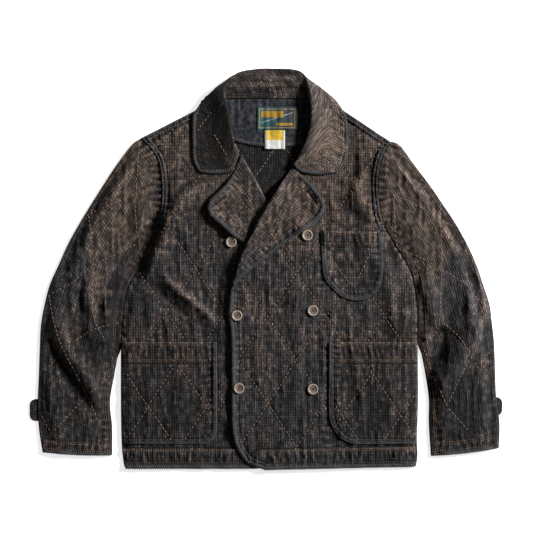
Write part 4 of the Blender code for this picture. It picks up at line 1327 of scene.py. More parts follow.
@dataclass
class Body:
    """The back and the two fronts."""

    room: Workroom
    back_inset: float = 3.0
    seam_radius: float = 5.0
    seam_drop: float = 4.2
    facing_edge: float = 13.5

    def build(self) -> None:
        """Makes the three panels."""
        self.room.lay(self.back(), "laid", [])
        self.room.lay(self.under_front(), "laid", ["back_panel"])
        self.room.lay(self.over_front(), "laid", ["back_panel", "right_front"])

    def dress(self) -> None:
        """Gives them their cloth."""
        self.room.cover("back_panel", "right_front", "left_front")

    def back(self) -> Pattern:
        """The back panel, flat on the surface."""
        left = joined(ARMHOLE_RIGHT, SIDE_RIGHT)
        right = joined(ARMHOLE_LEFT, SIDE_LEFT)
        left = left + np.array([self.back_inset, 0.0])
        right = right - np.array([self.back_inset, 0.0])
        neck = joined(SHOULDER_RIGHT, SHOULDER_UNDER_COLLAR_RIGHT, BACK_NECK,
                      SHOULDER_UNDER_COLLAR_LEFT[::-1], SHOULDER_LEFT[::-1])
        neck[0], neck[-1] = left[0], right[0]
        hem = np.vstack([left[-1:], np.array([(0, -378)]), right[-1:]])
        # The whole back is made darker as painted shade, for where it shows inside the neck under the collar and
        # lapels.
        return Pattern("back_panel", left, right, neck, hem, self.room.ground.back, cell=5.0,
                       wall=CLOTH, stride=2, faded=-0.75)

    def shared(self, name: str, edges: tuple[Points, Points, Points, Points], across: int,
               seed: int) -> tuple[list[Mark], list[Tint]]:
        """What both fronts have: quilting, sewn seams and a hem.

        Args:
            name: the front's name.
            edges: its armhole, shoulder, hem and side.
            across: which side of the armhole it lies on, 1 to its left.
            seed: what its puckers are drawn from.

        Returns:
            Its marks and its tints.
        """
        armhole, shoulder, hem, side = (Trace(smooth_line(edge)) for edge in edges)
        marks = [LATTICES[name], *seam_marks(armhole, across, seed),
                 *seam_marks(shoulder, -across, seed + 1), *hem_marks(hem, 1, seed + 2),
                 Pucker(side, 0.8, 17.0, 9.0, seed + 3)]
        tints = [(armhole, SEAM_STRIP, -0.65, 0.45, across), (shoulder, SEAM_STRIP, -0.5, 0.35, -across),
                 (hem, 9.0, -0.3, 0.0, 1)]
        return marks, tints

    def turned(self, side: Points) -> Turned:
        """A front's edge where it is turned down at its side seam."""
        return Turned(Trace(smooth_line(side)), self.seam_drop, self.seam_radius)

    def under_front(self) -> Pattern:
        """The right front, which lies under the other."""
        left = joined(ARMHOLE_RIGHT, SIDE_RIGHT)
        right = joined(NECK_RIGHT, UNDER_ROLL, UNDER_HIDDEN_EDGE)
        top = joined(SHOULDER_RIGHT, SHOULDER_UNDER_COLLAR_RIGHT)
        marks, tints = self.shared("right_front", (ARMHOLE_RIGHT, SHOULDER_RIGHT, HEM_UNDER, SIDE_RIGHT),
                                   1, 51)
        return Pattern("right_front", left, right, top, smooth_line(HEM_UNDER), self.room.ground.under,
                       [*marks, self.turned(SIDE_RIGHT)], tints=tints)

    def over_front(self) -> Pattern:
        """The left front, which laps over the other."""
        left = joined(NECK_LEFT, OVER_ROLL, OVER_EDGE)
        right = joined(ARMHOLE_LEFT, SIDE_LEFT)
        top = joined(SHOULDER_UNDER_COLLAR_LEFT[::-1], SHOULDER_LEFT[::-1])
        marks, tints = self.shared("left_front", (ARMHOLE_LEFT, SHOULDER_LEFT, HEM_OVER, SIDE_LEFT),
                                   -1, 61)
        edge, seam = Trace(joined(OVER_EDGE, OVER_CORNER)), Trace(smooth_line(INNER_SEAM))
        marks += [Band(edge, self.facing_edge, 0.7, 1), Groove(beside(edge, self.facing_edge), 1.1, 1.7),
                  Pucker(edge, 0.7, 13.0, 9.0, 65, 12.0), Groove(seam, 0.8, 1.8),
                  Groove(beside(seam, 5.0), 0.7, 1.6), Pucker(seam, 0.7, 15.0, 10.0, 66),
                  self.turned(SIDE_LEFT)]
        tints.append((edge, self.facing_edge, -0.25, 0.0, 1))
        return Pattern("left_front", left, right, top, joined(OVER_CORNER, HEM_OVER),
                       self.room.ground.over, marks, tints=tints)


# The stitch row that holds the left front's facing, from the chest pocket to the hem.
INNER_SEAM = [(104.5, 74), (106, -38), (114, -125), (120, -372)]

# The width of the double-stitched strip beside a seam.
SEAM_STRIP = 11.0

# The quilting of each quilted piece, by one crossing of its rows.
LATTICES = {
    "right_front": Lattice(-134.0, 2.3), "left_front": Lattice(3.0, -87.4),
    "right_hip_pocket": Lattice(-224.0, -259.0, depth=0.7),
    "left_hip_pocket": Lattice(201.0, -194.0, depth=0.7),
    "chest_pocket": Lattice(174.0, -10.0, depth=0.6), "back_panel": Lattice(26.0, 247.0),
}

# Each sheet's flat width and length in metres, and the share of that box that its cut fills.
CUTS = {
    "back_panel": (0.581, 0.710, 0.84), "right_front": (0.375, 0.695, 0.79),
    "left_front": (0.365, 0.695, 0.78), "right_lapel": (0.215, 0.260, 0.345),
    "left_lapel": (0.185, 0.240, 0.365), "chest_pocket": (0.120, 0.136, 0.90),
    "left_hip_pocket": (0.172, 0.198, 1.0), "right_hip_pocket": (0.186, 0.198, 1.0),
    "right_sleeve": (0.420, 0.600, 0.67), "left_sleeve": (0.405, 0.605, 0.63),
    "collar": (0.560, 0.150, 0.64), "back_neck_facing": (0.190, 0.092, 0.88),
}


def cut_of(name: str) -> dict[str, tuple[float, float] | float]:
    """The flat size in metres of a sheet and the area of its cut in square metres."""
    width, length, share = CUTS[name]
    return {"flat": (width, length), "area": width * length * share}


def beside(trace: Trace, distance: float) -> Trace:
    """A line to the left of another one's direction, or to its right where negative."""
    line = trace.line
    ways = unit(np.gradient(line, axis=0))
    return Trace(line + distance * np.stack([-ways[:, 1], ways[:, 0]], axis=1))


def seam_marks(seam: Trace, side: int, seed: int) -> list[Mark]:
    """A double-stitched strip beside a seam, with its puckers.

    Args:
        seam: the seam.
        side: which side of it the strip lies on, 1 to its left.
        seed: what its puckers are drawn from.

    Returns:
        Its marks.
    """
    return [Band(seam, SEAM_STRIP, 1.5, side), Groove(beside(seam, side * SEAM_STRIP / 2), 0.8, 1.3),
            Groove(beside(seam, side * (SEAM_STRIP + 1.8)), 0.8, 1.6), Groove(seam, 0.7, 1.4),
            Pucker(seam, 0.6, 12.0, 12.0, seed, 12.0)]


def hem_marks(hem: Trace, side: int, seed: int) -> list[Mark]:
    """A deep hem: its fold, its two rows of stitches and the waves between them.

    Args:
        hem: the hem's lower edge.
        side: which side of it the cloth lies on, 1 to its left.
        seed: what its waves are drawn from.

    Returns:
        Its marks.
    """
    return [Band(hem, 38.0, 1.5, side), Groove(beside(hem, side * 39.0), 1.3, 2.0),
            Groove(beside(hem, side * 33.0), 0.8, 1.6), Groove(beside(hem, side * 11.0), 0.9, 1.8),
            Pucker(hem, 1.0, 15.0, 12.0, seed, 23.0), Pucker(hem, 0.9, 8.5, 9.0, seed + 30, 25.0)]


@dataclass
class Lapels:
    """The fronts' facings turned back at the roll."""

    room: Workroom
    nose: float = 3.6
    lift: float = 6.5
    lifted: float = 0.56
    cloth_turn: float = 34.0

    def build(self) -> None:
        """Makes both lapels."""
        self.room.lay(self.pattern("right_lapel", UNDER_LAPEL_ROLL, UNDER_LAPEL_TIP, UNDER_LAPEL_FOOT,
                                   -1, self.room.ground.on_under, 71), "folded", ["right_front"])
        self.room.lay(self.pattern("left_lapel", OVER_LAPEL_ROLL, OVER_LAPEL_TIP, OVER_LAPEL_FOOT,
                                   1, self.room.ground.on_over, 72), "folded", ["left_front"])

    def dress(self) -> None:
        """Gives them their cloth."""
        self.room.cover("right_lapel", "left_lapel")

    def pattern(self, name: str, roll: Points, tip: Points, foot: Points, side: int, height: Height,
                seed: int) -> Pattern:
        """A lapel between its roll line and its outer edge.

        Args:
            name: its name.
            roll: the roll line from the foot to the notch.
            tip: its edge from the notch to the point.
            foot: its edge from the foot to the point.
            side: 1 for the left lapel, -1 for the right one.
            height: its top.
            seed: what its puckers are drawn from.

        Returns:
            The pattern.
        """
        line = smooth_line(roll[::-1])
        nose = beside(Trace(line), side * -self.nose).line
        outer = joined(tip, foot[::-1])
        corner = length_of(smooth_line(tip)) / length_of(outer)
        edge = Trace(outer)
        top, bottom = np.array([nose[0], outer[0]]), np.array([nose[-1], outer[-1]])
        lifted = Trace(walk(outer, np.linspace(0, self.lifted, 60)))
        marks = [Pucker(edge, 0.9, 12.0, 11.0, seed, 9.0), Groove(beside(edge, side * -9.0), 0.6, 1.6),
                 Lift(lifted, self.lift, 24.0), Lift(Trace(line), 1.6, 12.0),
                 Lift(beside(edge, side * -34.0), -0.7, 12.0)]
        return Pattern(name, nose, outer, top, bottom, height, marks, {"left": (4.2, 5.2)},
                       corner=corner, turn=-side * self.cloth_turn, faded=0.15)


@dataclass
class Pockets:
    """The three patch pockets."""

    room: Workroom
    border: float = 9.0
    border_drop: float = 2.9
    chest_band: float = 26.0
    hip_band: float = 38.0
    seam_turn: tuple[float, float] = (5.0, 6.6)

    def build(self) -> None:
        """Makes the pockets."""
        self.room.lay(self.chest(), "laid", ["left_front"])
        self.room.lay(self.left_hip(), "laid", ["left_front"])
        self.room.lay(self.right_hip(), "laid", ["right_front"])

    def dress(self) -> None:
        """Gives them their cloth."""
        self.room.cover("chest_pocket", "left_hip_pocket", "right_hip_pocket")

    def marks(self, sides: Trace, mouth: Trace, band: float, seed: int) -> list[Mark]:
        """The border round a pocket and the band along its mouth.

        Args:
            sides: its corded edge, the cloth to its left.
            mouth: its open edge, the cloth to its right.
            band: the width of the band.
            seed: what its puckers are drawn from.

        Returns:
            Its marks.
        """
        return [Band(sides, self.border, 0.5, 1), Groove(beside(sides, self.border + 1.0), 1.2, 1.7),
                Pucker(sides, 1.0, 12.5, 9.0, seed, 13.0),
                Band(mouth, band, 1.5, -1), Groove(beside(mouth, -band - 1.0), 1.3, 1.9),
                Groove(beside(mouth, 5.0 - band), 0.9, 1.6), Groove(beside(mouth, -4.0), 0.8, 1.5),
                Lift(mouth, 1.5, 13.0), Pucker(mouth, 0.8, 11.0, 11.0, seed + 1, band / 2)]

    def tints(self, sides: Trace, mouth: Trace, band: float, dyed: tuple[float, float],
              border: float) -> list[Tint]:
        """The darker border and the mouth of a pocket, lighter with wear.

        Args:
            sides: its corded edge, the cloth to its left.
            mouth: its open edge, the cloth to its right.
            band: the width of the band at the mouth.
            dyed: how much dye and wear the band adds.
            border: how much dye the border adds.

        Returns:
            Its tints.
        """
        return [(mouth, band, *dyed, -1), (mouth, 3.6, 0.1, 0.5, -1), (sides, self.border, border, 0.0, 1)]

    def chest(self) -> Pattern:
        """The chest pocket, a deep U."""
        left = smooth_line([(104, 74), (105, 40), (107, 0), (111, -16), (120, -30)])
        bottom = smooth_line([(120, -30), (142, -50), (167, -58), (194, -54), (214, -36)])
        right = smooth_line([(221, 72), (222, 30), (221, -10), (214, -36)])
        top = np.array([(104, 74), (221, 72)], float)
        sides, mouth = Trace(np.concatenate([left, bottom[1:], right[::-1][1:]])), Trace(top)
        marks = [*self.marks(sides, mouth, self.chest_band, 81), LATTICES["chest_pocket"],
                 Crease([(118, 70), (119, 58), (118, 44)], 1.8, 5, 5),
                 Crease([(194, 54), (202, 4), (188, -26)], -1.6, 9, 10)]
        return Pattern("chest_pocket", left, right, top, bottom, self.room.ground.on_over, marks,
                       dict.fromkeys(("left", "right", "bottom"), (self.border, self.border_drop)),
                       tints=self.tints(sides, mouth, self.chest_band, (0.08, -0.1), -0.5))

    def left_hip(self) -> Pattern:
        """The left hip pocket."""
        left = smooth_line([(119, -137), (119, -200), (119, -266), (123, -292), (135, -313)])
        bottom = joined([(135, -313), (152, -326), (173, -331)], [(173, -331), (287, -331)])
        right = smooth_line([(288.5, -137), (289.5, -256), (287, -331)])
        return self.hip("left_hip_pocket", left, right, bottom,
                        Trace(np.concatenate([left, bottom[1:]])), "left",
                        self.room.ground.on_over, 83)

    def right_hip(self) -> Pattern:
        """The right hip pocket."""
        right = smooth_line([(-93, -137), (-93, -220), (-93, -299), (-97, -317)])
        bottom = joined([(-275, -331), (-123, -331)], [(-123, -331), (-107, -327), (-97, -317)])
        left = smooth_line([(-275.5, -137), (-276.5, -200), (-275, -331)])
        return self.hip("right_hip_pocket", left, right, bottom,
                        Trace(np.concatenate([bottom, right[::-1][1:]])), "right",
                        self.room.ground.on_under, 85)

    def hip(self, name: str, left: Array, right: Array, bottom: Array, sides: Trace, corded: str,
            height: Height, seed: int) -> Pattern:
        """A hip pocket, corded down its front side and sewn into the side seam with the other.

        Args:
            name: its name.
            left: its left edge, from the mouth down.
            right: its right edge, from the mouth down.
            bottom: its lower edge, from left to right.
            sides: its corded edge, the cloth to its left.
            corded: which of left and right is corded.
            height: its top.
            seed: what its puckers are drawn from.

        Returns:
            The pattern.
        """
        top = np.array([left[0], right[0]])
        mouth = Trace(top)
        marks = [*self.marks(sides, mouth, self.hip_band, seed), LATTICES[name]]
        turned = {"left": self.seam_turn, "right": self.seam_turn,
                  corded: (self.border, self.border_drop), "bottom": (self.border, self.border_drop)}
        return Pattern(name, left, right, top, bottom, height, marks, turned,
                       tints=self.tints(sides, mouth, self.hip_band, (0.06, -0.25), -0.4))


@dataclass
class Sleeves:
    """Both sleeves and the tabs at their cuffs."""

    room: Workroom
    band: float = 24.0
    contact: float = -0.5
    touching: float = 7.5
    tab_corner: float = 11.0

    def build(self) -> None:
        """Makes the sleeves and the tabs."""
        for name, outer, inner, armhole, side, seed in (
                ("right_sleeve", SLEEVE_RIGHT_OUTER, SLEEVE_RIGHT_INNER, ARMHOLE_RIGHT, 1, 91),
                ("left_sleeve", SLEEVE_LEFT_OUTER, SLEEVE_LEFT_INNER, ARMHOLE_LEFT, -1, 95)):
            piece = self.tube(name, outer, inner, armhole, side, seed).build(self.room.dye)
            self.room.cloth[name] = self.room.keep(piece, name)
            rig.sheet(piece, **cut_of(name), held="laid")
        for name, outline, side in (("right_cuff_tab", CUFF_TAB_RIGHT, -1),
                                    ("left_cuff_tab", CUFF_TAB_LEFT, 1)):
            self.room.cloth[name] = self.room.keep(self.tab(name, outline, side), name)

    def dress(self) -> None:
        """Gives them their cloth."""
        self.room.cover("right_sleeve", "left_sleeve", "right_cuff_tab", "left_cuff_tab")

    def tube(self, name: str, outer: Points, inner: Points, armhole: Points, side: int,
             seed: int) -> Tube:
        """One sleeve.

        Args:
            name: its name.
            outer: its outer edge from the shoulder down.
            inner: its inner edge from the underarm down.
            armhole: the armhole from the shoulder to the underarm.
            side: 1 for the right sleeve, -1 for the left one.
            seed: what its puckers are drawn from.

        Returns:
            The sleeve.
        """
        edge, under = smooth_line(outer), self.met(smooth_line(inner))
        cuff = np.array([edge[-1], (edge[-1] + under[-1]) / 2 + (0, -2), under[-1]])
        seam, end = Trace(smooth_line(armhole)), Trace(smooth_line(cuff.tolist()))
        marks = [Groove(seam, 0.7, 2.4), Pucker(seam, 1.0, 13.0, 13.0, seed, 8.0),
                 Groove(beside(end, self.band), 0.9, 1.8), Band(end, self.band, 0.7, 1),
                 Pucker(end, 0.9, 15.0, 13.0, seed + 1, 22.0),
                 Groove(beside(Trace(under), -side * 12.0), 0.6, 1.5),
                 Pucker(Trace(under), 0.8, 14.0, 10.0, seed + 2, 13.0)]
        return Tube(name, edge, under, smooth_line(armhole), cuff, self.height_near(seam), marks)

    def met(self, inner: Array) -> Array:
        """A sleeve's inner edge, moved up to the body where they touch.

        Contact is how far off it ends: below 0 the two are pressed into each other by that much.
        """
        moved = inner.copy()
        for side in (Trace(smooth_line(SIDE_RIGHT)), Trace(smooth_line(SIDE_LEFT))):
            distance, along, _ = side.measure(inner[:, 0], inner[:, 1], 8.0)
            near = distance < self.touching
            spots = walk(side.line, along[near] / side.length)
            share = 1 - smoothstep(distance[near], 3.2, 6.5)
            way = unit(spots - inner[near])
            way[distance[near] < 0.05] = 0.0
            moved[near] += way * (share * (distance[near] - self.contact))[:, None]
        return moved

    def height_near(self, seam: Trace) -> Height:
        """How high a sleeve's top lies, which meets the front at its armhole.

        Args:
            seam: the armhole.

        Returns:
            The height as a function of the place and its distance from the sleeve's edges.
        """
        ground = self.room.ground

        def height(x: Array, y: Array, reach: Array) -> Array:
            """The top of the sleeve."""
            air = ground.open_air(x, y) * smoothstep(reach, 2.0, SLEEVE_FADE)
            own = 2 * CLOTH + GAP + air
            far = smoothstep(seam.measure(x, y, 60.0)[0], 0.0, 46.0)
            met = LAYER + CLOTH + ground.air(x, y)
            detail = ground.detail(x, y)
            return own * far + met * (1 - far) + detail * smoothstep(reach, -4.0, 12.0)
        return height

    def tab(self, name: str, outline: Points, side: int) -> bpy.types.Object:
        """A tab's rounded end, which stands out past the cuff.

        Args:
            name: its name.
            outline: its outline on the plan.
            side: -1 for the right one, 1 for the left one.

        Returns:
            The object.
        """
        spots = np.array(outline, float)
        low, high = spots.min(0), spots.max(0)
        middle, size = (low + high) / 2, high - low
        bpy.ops.object.select_all(action="DESELECT")
        bpy.ops.mesh.primitive_cube_add(size=1, location=(0, 0, 0))
        piece = bpy.context.object
        piece.name = piece.data.name = name + "_cloth"
        bpy.ops.object.mode_set(mode="EDIT")
        bpy.ops.transform.resize(value=(size[0] * MM, size[1] * MM, CLOTH * MM))
        place = (middle[0] * MM, (middle[1] - MIDDLE_Y) * MM, CLOTH / 2 * MM)
        bpy.ops.transform.translate(value=place)
        bpy.ops.object.mode_set(mode="OBJECT")
        chosen(piece, Kind.EDGE, lambda edge: upright(piece, edge) and
               side * (middle_of(piece, edge)[0] - middle[0] * MM) > 0)
        bpy.ops.object.mode_set(mode="EDIT")
        bpy.ops.mesh.bevel(offset=self.tab_corner * MM, segments=3, affect="EDGES")
        bpy.ops.mesh.select_all(action="SELECT")
        bpy.ops.object.mode_set(mode="OBJECT")
        rounded(piece, 0.8)
        for key in ("overdye", "wear"):
            piece.data.attributes.new(key, "FLOAT", "POINT")
        mapped(piece)
        return piece


def chosen(piece: bpy.types.Object, kind: Kind, wanted: Callable[..., bool]) -> None:
    """Selects the edges or faces of a mesh that a test names."""
    bpy.ops.object.mode_set(mode="EDIT")
    bpy.ops.mesh.select_mode(type=kind.value)
    bpy.ops.mesh.select_all(action="DESELECT")
    bpy.ops.object.mode_set(mode="OBJECT")
    items = piece.data.edges if kind is Kind.EDGE else piece.data.polygons
    for item in items:
        item.select = bool(wanted(item))


def middle_of(piece: bpy.types.Object, edge: bpy.types.MeshEdge) -> Vector:
    """The middle of an edge."""
    a, b = (piece.data.vertices[i].co for i in edge.vertices)
    return (a + b) / 2


def upright(piece: bpy.types.Object, edge: bpy.types.MeshEdge) -> bool:
    """True where an edge runs straight up."""
    a, b = (piece.data.vertices[i].co for i in edge.vertices)
    return (a - b).xy.length < 1e-6


def rounded(piece: bpy.types.Object, radius: float, segments: int = 3) -> None:
    """Rounds a piece's sharp edges and shades it smooth.

    Args:
        piece: the piece.
        radius: the rounding in millimetres.
        segments: how many faces it has.
    """
    bevel = piece.modifiers.new("rounding", "BEVEL")
    bevel.width = radius * MM
    bevel.segments = segments
    bevel.limit_method = "ANGLE"
    bevel.angle_limit = math.radians(40)
    bpy.context.view_layer.objects.active = piece
    bpy.ops.object.modifier_apply(modifier="rounding")
    bpy.ops.object.shade_smooth_by_angle(angle=math.radians(40))


def mapped(piece: bpy.types.Object) -> None:
    """Gives a small piece a map of its plan in metres."""
    layer = piece.data.uv_layers.new(name="cloth")
    for loop in piece.data.loops:
        layer.data[loop.index].uv = piece.data.vertices[loop.vertex_index].co.xy


@dataclass
class Collar:
    """The shirt-like collar, one ribbon that stands, rolls over and falls."""

    room: Workroom
    cell: float = 2.3
    half: float = 1.1
    roll_radius: float = 2.6
    rounding: float = 1.4
    # How much lighter the left leaf, which faces the lamp, is painted and how much darker the right leaf: painted
    # light and painted shade.
    left_leaf: float = 1.5
    right_leaf: float = 2.0
    lifts: tuple[float, ...] = (1, 4, 6.5, 7, 6, 4, 1, 0, 0, 0, 1, 4, 6, 7, 6.5, 4, 1)
    shares: tuple[float, ...] = (0, 0.35, 1.0, 0.35, -0.15, -0.2, 0)

    def build(self) -> None:
        """Makes the collar."""
        grid, normals, along, across = self.surface()
        bumps = self.bumps(along, across)[..., None] * normals
        edge = np.minimum(np.minimum(along, along[-1:] - along), across[:, -1:] - across)
        half = self.half * np.sqrt(1 - np.clip(1 - edge / self.rounding, 0, 0.97) ** 2)[..., None]
        skins = []
        for side, start in ((1, 0), (-1, 1)):
            points = grid + bumps + side * half * normals
            points[..., 2] = np.maximum(points[..., 2], 0.0)
            dye = np.clip(0.34 + 0.45 * self.room.dye.at(points[..., 0], points[..., 1]), 0, 1)
            x = points[..., 0]
            # Painted light on the left leaf and painted shade on the right one; on each face raised bumps are lighter
            # as wear and hollows darker as painted shade.
            leaf_light_and_shade = (self.left_leaf * smoothstep(x, 45.0, 110.0)
                    - self.right_leaf * smoothstep(-x, 50.0, 92.0))
            wear = np.clip(self.bumps(along, across) * side / 0.5, -1.2, 1.2) + leaf_light_and_shade
            skins.append(Skin(points, np.dstack([along, across]), dye, wear))
        everything = (np.arange(grid.shape[0]), np.arange(grid.shape[1]))
        piece = closed("collar", skins[0], skins[1], *everything)
        self.room.cloth["collar"] = self.room.keep(piece, "collar")
        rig.sheet(piece, **cut_of("collar"), held="folded",
                 rests_on=["back_panel", "right_front", "left_front", "right_lapel", "left_lapel"])

    def dress(self) -> None:
        """Gives it its cloth."""
        self.room.cover("collar")

    def surface(self) -> tuple[Array, Array, Array, Array]:
        """The middle of its wall: points, upward directions, and the ways along and across it."""
        rows = self.rows()
        grid = through(rows, stations(rows, self.cell))
        grid = np.swapaxes(grid, 0, 1)
        grid = np.swapaxes(through(grid, stations(grid, self.cell)), 0, 1)
        normals = unit(np.cross(directions(grid, 1), directions(grid, 0)))
        return grid, normals, run_of(grid, 0), run_of(grid, 1)

    def bumps(self, along: Array, across: Array) -> Array:
        """The crinkle and the puckers of its cloth.

        Args:
            along: how far along the collar each point lies.
            across: how far from the neck seam.

        Returns:
            Their height.
        """
        ground = self.room.ground
        crinkle = 0.42 * ground.crinkle(across + 300, along) + 0.3 * ground.crinkle(along, across + 90)
        edge = across[:, -1:] - across
        phase = along / 2.3 + 2.6 * Grain(17).at(along / 24, edge / 30)
        rib = 0.55 * np.exp(-((edge - 12) / 7) ** 2) * np.sin(phase)
        return crinkle + rib - 0.5 * np.exp(-((edge - 10) / 1.8) ** 2)

    def rows(self) -> Array:
        """Its listed rows with a rounded fold in place of each roll point."""
        rows = np.array(COLLAR_RIGHT_ROWS + [COLLAR_CENTRE_ROW] + COLLAR_LEFT_ROWS, float)
        rows[:, :, 2] += np.array(self.lifts)[:, None] * np.array(self.shares)
        lines = directions(rows[:, 2:3], 0)[:, 0]
        return np.array([self.with_nose(row, line) for row, line in zip(rows, lines)])

    def with_nose(self, row: Array, line: Array) -> Array:
        """A row with two points round the fold, square to the roll line, in place of one."""
        seam, stand, roll, fall = row[:4]
        to_stand, to_fall = (unit(way - line * float(way @ line)) for way in (stand - roll, fall - roll))
        inwards, across = unit(to_stand + to_fall), unit(to_fall - to_stand)
        before = roll + self.roll_radius * (inwards - across)
        after = roll + self.roll_radius * (inwards + across)
        return np.concatenate([[seam, stand, before, roll, after], row[3:]])


def stations(rows: Array, cell: float) -> Array:
    """Where to put rows on a surface so that they lie about this far apart, closer at its ends.

    Args:
        rows: the given rows.
        cell: how far apart.

    Returns:
        The places, counted in rows.
    """
    gaps = np.linalg.norm(np.diff(rows, axis=0), axis=2).max(axis=1)
    found = [k + np.arange(n) / n for k, n in enumerate(np.ceil(gaps / cell).astype(int))]
    ends = np.array([0.5, 1.2])
    last = len(rows) - 1
    return np.unique(np.concatenate([*found, ends / gaps[0], last - ends / gaps[-1], [last]]))


def through(rows: Array, at: Array) -> Array:
    """Rows of a smooth surface through given rows, at these places."""
    padded = np.concatenate([[2 * rows[0] - rows[1]], rows, [2 * rows[-1] - rows[-2]]])
    k = np.minimum(at.astype(int), len(rows) - 2)
    t = (at - k).reshape(-1, *[1] * (rows.ndim - 1))
    return spline(padded[k], padded[k + 1], padded[k + 2], padded[k + 3], t)


def directions(grid: Array, axis: int) -> Array:
    """Unit directions along one axis of a grid of points."""
    steps = unit(np.diff(grid, axis=axis))
    first, last = np.take(steps, [0], axis=axis), np.take(steps, [-1], axis=axis)
    mean = np.concatenate([first, steps], axis=axis) + np.concatenate([steps, last], axis=axis)
    return unit(mean)


def run_of(grid: Array, axis: int) -> Array:
    """How far along one axis of a grid its points lie."""
    steps = np.linalg.norm(np.diff(grid, axis=axis), axis=2)
    zero = np.zeros_like(np.take(steps, [0], axis=axis))
    return np.concatenate([zero, np.cumsum(steps, axis=axis)], axis=axis)


@dataclass
class Neck:
    """What shows inside the neck: the facing, the woven label and the size tag."""

    room: Workroom

    def build(self) -> None:
        """Makes the three pieces."""
        facing = Pattern("back_neck_facing", smooth_line(FACING_RIGHT_SIDE[::-1]),
                         smooth_line(FACING_LEFT_SIDE[::-1]), smooth_line(FACING_UPPER),
                         smooth_line(FACING_LOWER), self.facing_height,
                         [Pucker(Trace(smooth_line(FACING_LOWER)), 0.3, 13.0, 12.0, 101, 10.0)],
                         wall=1.2, cell=2.2)
        self.room.lay(facing, "laid", ["back_panel"])
        for name, box in (("neck_label", LABEL_BOX), ("size_tag", TAG_BOX)):
            piece = self.plate(name, box)
            self.room.cloth[name] = self.room.keep(piece, name)
            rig.sheet(piece, flat=((box[2] - box[0]) * MM, (box[3] - box[1]) * MM), held="laid",
                     rests_on=["back_neck_facing"])

    def dress(self) -> None:
        """Gives them their finishes."""
        self.room.wear(self.room.cloth["back_neck_facing"], Finish.LINING, "neck_facing_cloth")
        self.room.wear(self.room.cloth["neck_label"], Finish.LABEL, "woven_label")
        self.room.wear(self.room.cloth["size_tag"], Finish.TAPE, "tag_tape")

    def facing_height(self, x: Array, y: Array) -> Array:
        """The top of the facing with its own light crinkle."""
        crinkle = self.room.ground.crinkle(x + 500, y) - 0.4 * self.room.ground.crinkle(x + 77, y)
        return self.room.ground.facing(x, y) + 0.25 + 0.8 * crinkle

    def label_height(self, x: Array, y: Array) -> Array:
        """The top of the label and the tag."""
        return self.facing_height(x, y) + LABEL_CLOTH + 0.35

    def plate(self, name: str, box: tuple[float, float, float, float]) -> bpy.types.Object:
        """A small woven piece.

        Args:
            name: its name.
            box: its left, low, right and high edges.

        Returns:
            The object.
        """
        x0, y0, x1, y1 = box
        corners = np.array([(x0, y1), (x1, y1), (x0, y0), (x1, y0)], float)
        plate = Pattern(name, corners[[0, 2]], corners[[1, 3]], corners[[0, 1]], corners[[2, 3]],
                        self.label_height, cell=1.6, wall=0.9, stride=2)
        return plate.build(self.room.dye)


@dataclass
class Buttons:
    """Six dished buttons with four holes."""

    room: Workroom
    radius: float = 10.0
    height: float = 3.6
    rim: float = 2.3
    dish: float = 1.1
    hole: float = 1.0
    hole_reach: float = 1.9
    gap: float = 0.3

    def build(self) -> None:
        """Makes the buttons."""
        first = self.first()
        for number, (x, y) in enumerate(UNDER_BUTTONS + OVER_BUTTONS, 1):
            layer = self.room.ground.under if number <= len(UNDER_BUTTONS) else self.room.ground.over
            reach = np.linspace(-self.radius, self.radius, 7)
            seat = float(np.percentile(layer(*np.meshgrid(x + reach, y + reach)), 80)) + self.gap
            piece = first.copy()
            piece.data = first.data.copy()
            piece.name = piece.data.name = f"button_{number}_shown"
            bpy.context.scene.collection.objects.link(piece)
            turn = math.radians(17 * number)
            for vertex in piece.data.vertices:
                flat = Vector((vertex.co.x * math.cos(turn) - vertex.co.y * math.sin(turn),
                               vertex.co.x * math.sin(turn) + vertex.co.y * math.cos(turn)))
                vertex.co = Vector((flat.x + x * MM, flat.y + (y - MIDDLE_Y) * MM, vertex.co.z + seat * MM))
            self.room.keep(piece, f"button_{number}")
        bpy.data.objects.remove(first, do_unlink=True)

    def dress(self) -> None:
        """Gives them their horn."""
        for piece in self.room.made:
            if piece.name.startswith("button_"):
                self.room.wear(piece, Finish.HORN, "horn_button")

    def first(self) -> bpy.types.Object:
        """One button about the origin, its seat at height 0."""
        bpy.ops.object.select_all(action="DESELECT")
        bpy.ops.mesh.primitive_cylinder_add(vertices=48, radius=self.radius * MM,
                                            depth=self.height * MM,
                                            location=(0, 0, self.height / 2 * MM))
        piece = bpy.context.object
        bpy.ops.object.transform_apply(location=True)
        top = self.height * MM
        chosen(piece, Kind.FACE, lambda face: face.normal.z > 0.9)
        bpy.ops.object.mode_set(mode="EDIT")
        bpy.ops.mesh.inset(thickness=self.rim * MM, depth=0)
        bpy.ops.mesh.inset(thickness=0.9 * MM, depth=-self.dish * MM)
        bpy.ops.mesh.inset(thickness=1.6 * MM, depth=-0.1 * MM)
        bpy.ops.object.mode_set(mode="OBJECT")
        for turn in range(4):
            angle = math.pi / 4 + turn * math.pi / 2
            bpy.ops.object.select_all(action="DESELECT")
            spot = (self.hole_reach * math.cos(angle) * MM, self.hole_reach * math.sin(angle) * MM, top)
            bpy.ops.mesh.primitive_cylinder_add(vertices=14, radius=self.hole * MM, depth=4 * top,
                                                location=spot)
            drill = bpy.context.object
            cut = piece.modifiers.new("hole", "BOOLEAN")
            cut.operation = "DIFFERENCE"
            cut.object = drill
            bpy.context.view_layer.objects.active = piece
            bpy.ops.object.modifier_apply(modifier="hole")
            bpy.data.objects.remove(drill, do_unlink=True)
        piece.select_set(True)
        rounded(piece, 0.45, 2)
        dish = piece.data.attributes.new("dish", "FLOAT", "POINT")
        for vertex, value in zip(piece.data.vertices, dish.data):
            value.value = float(vertex.co.xy.length < (self.radius - self.rim - 0.4) * MM)
        return piece


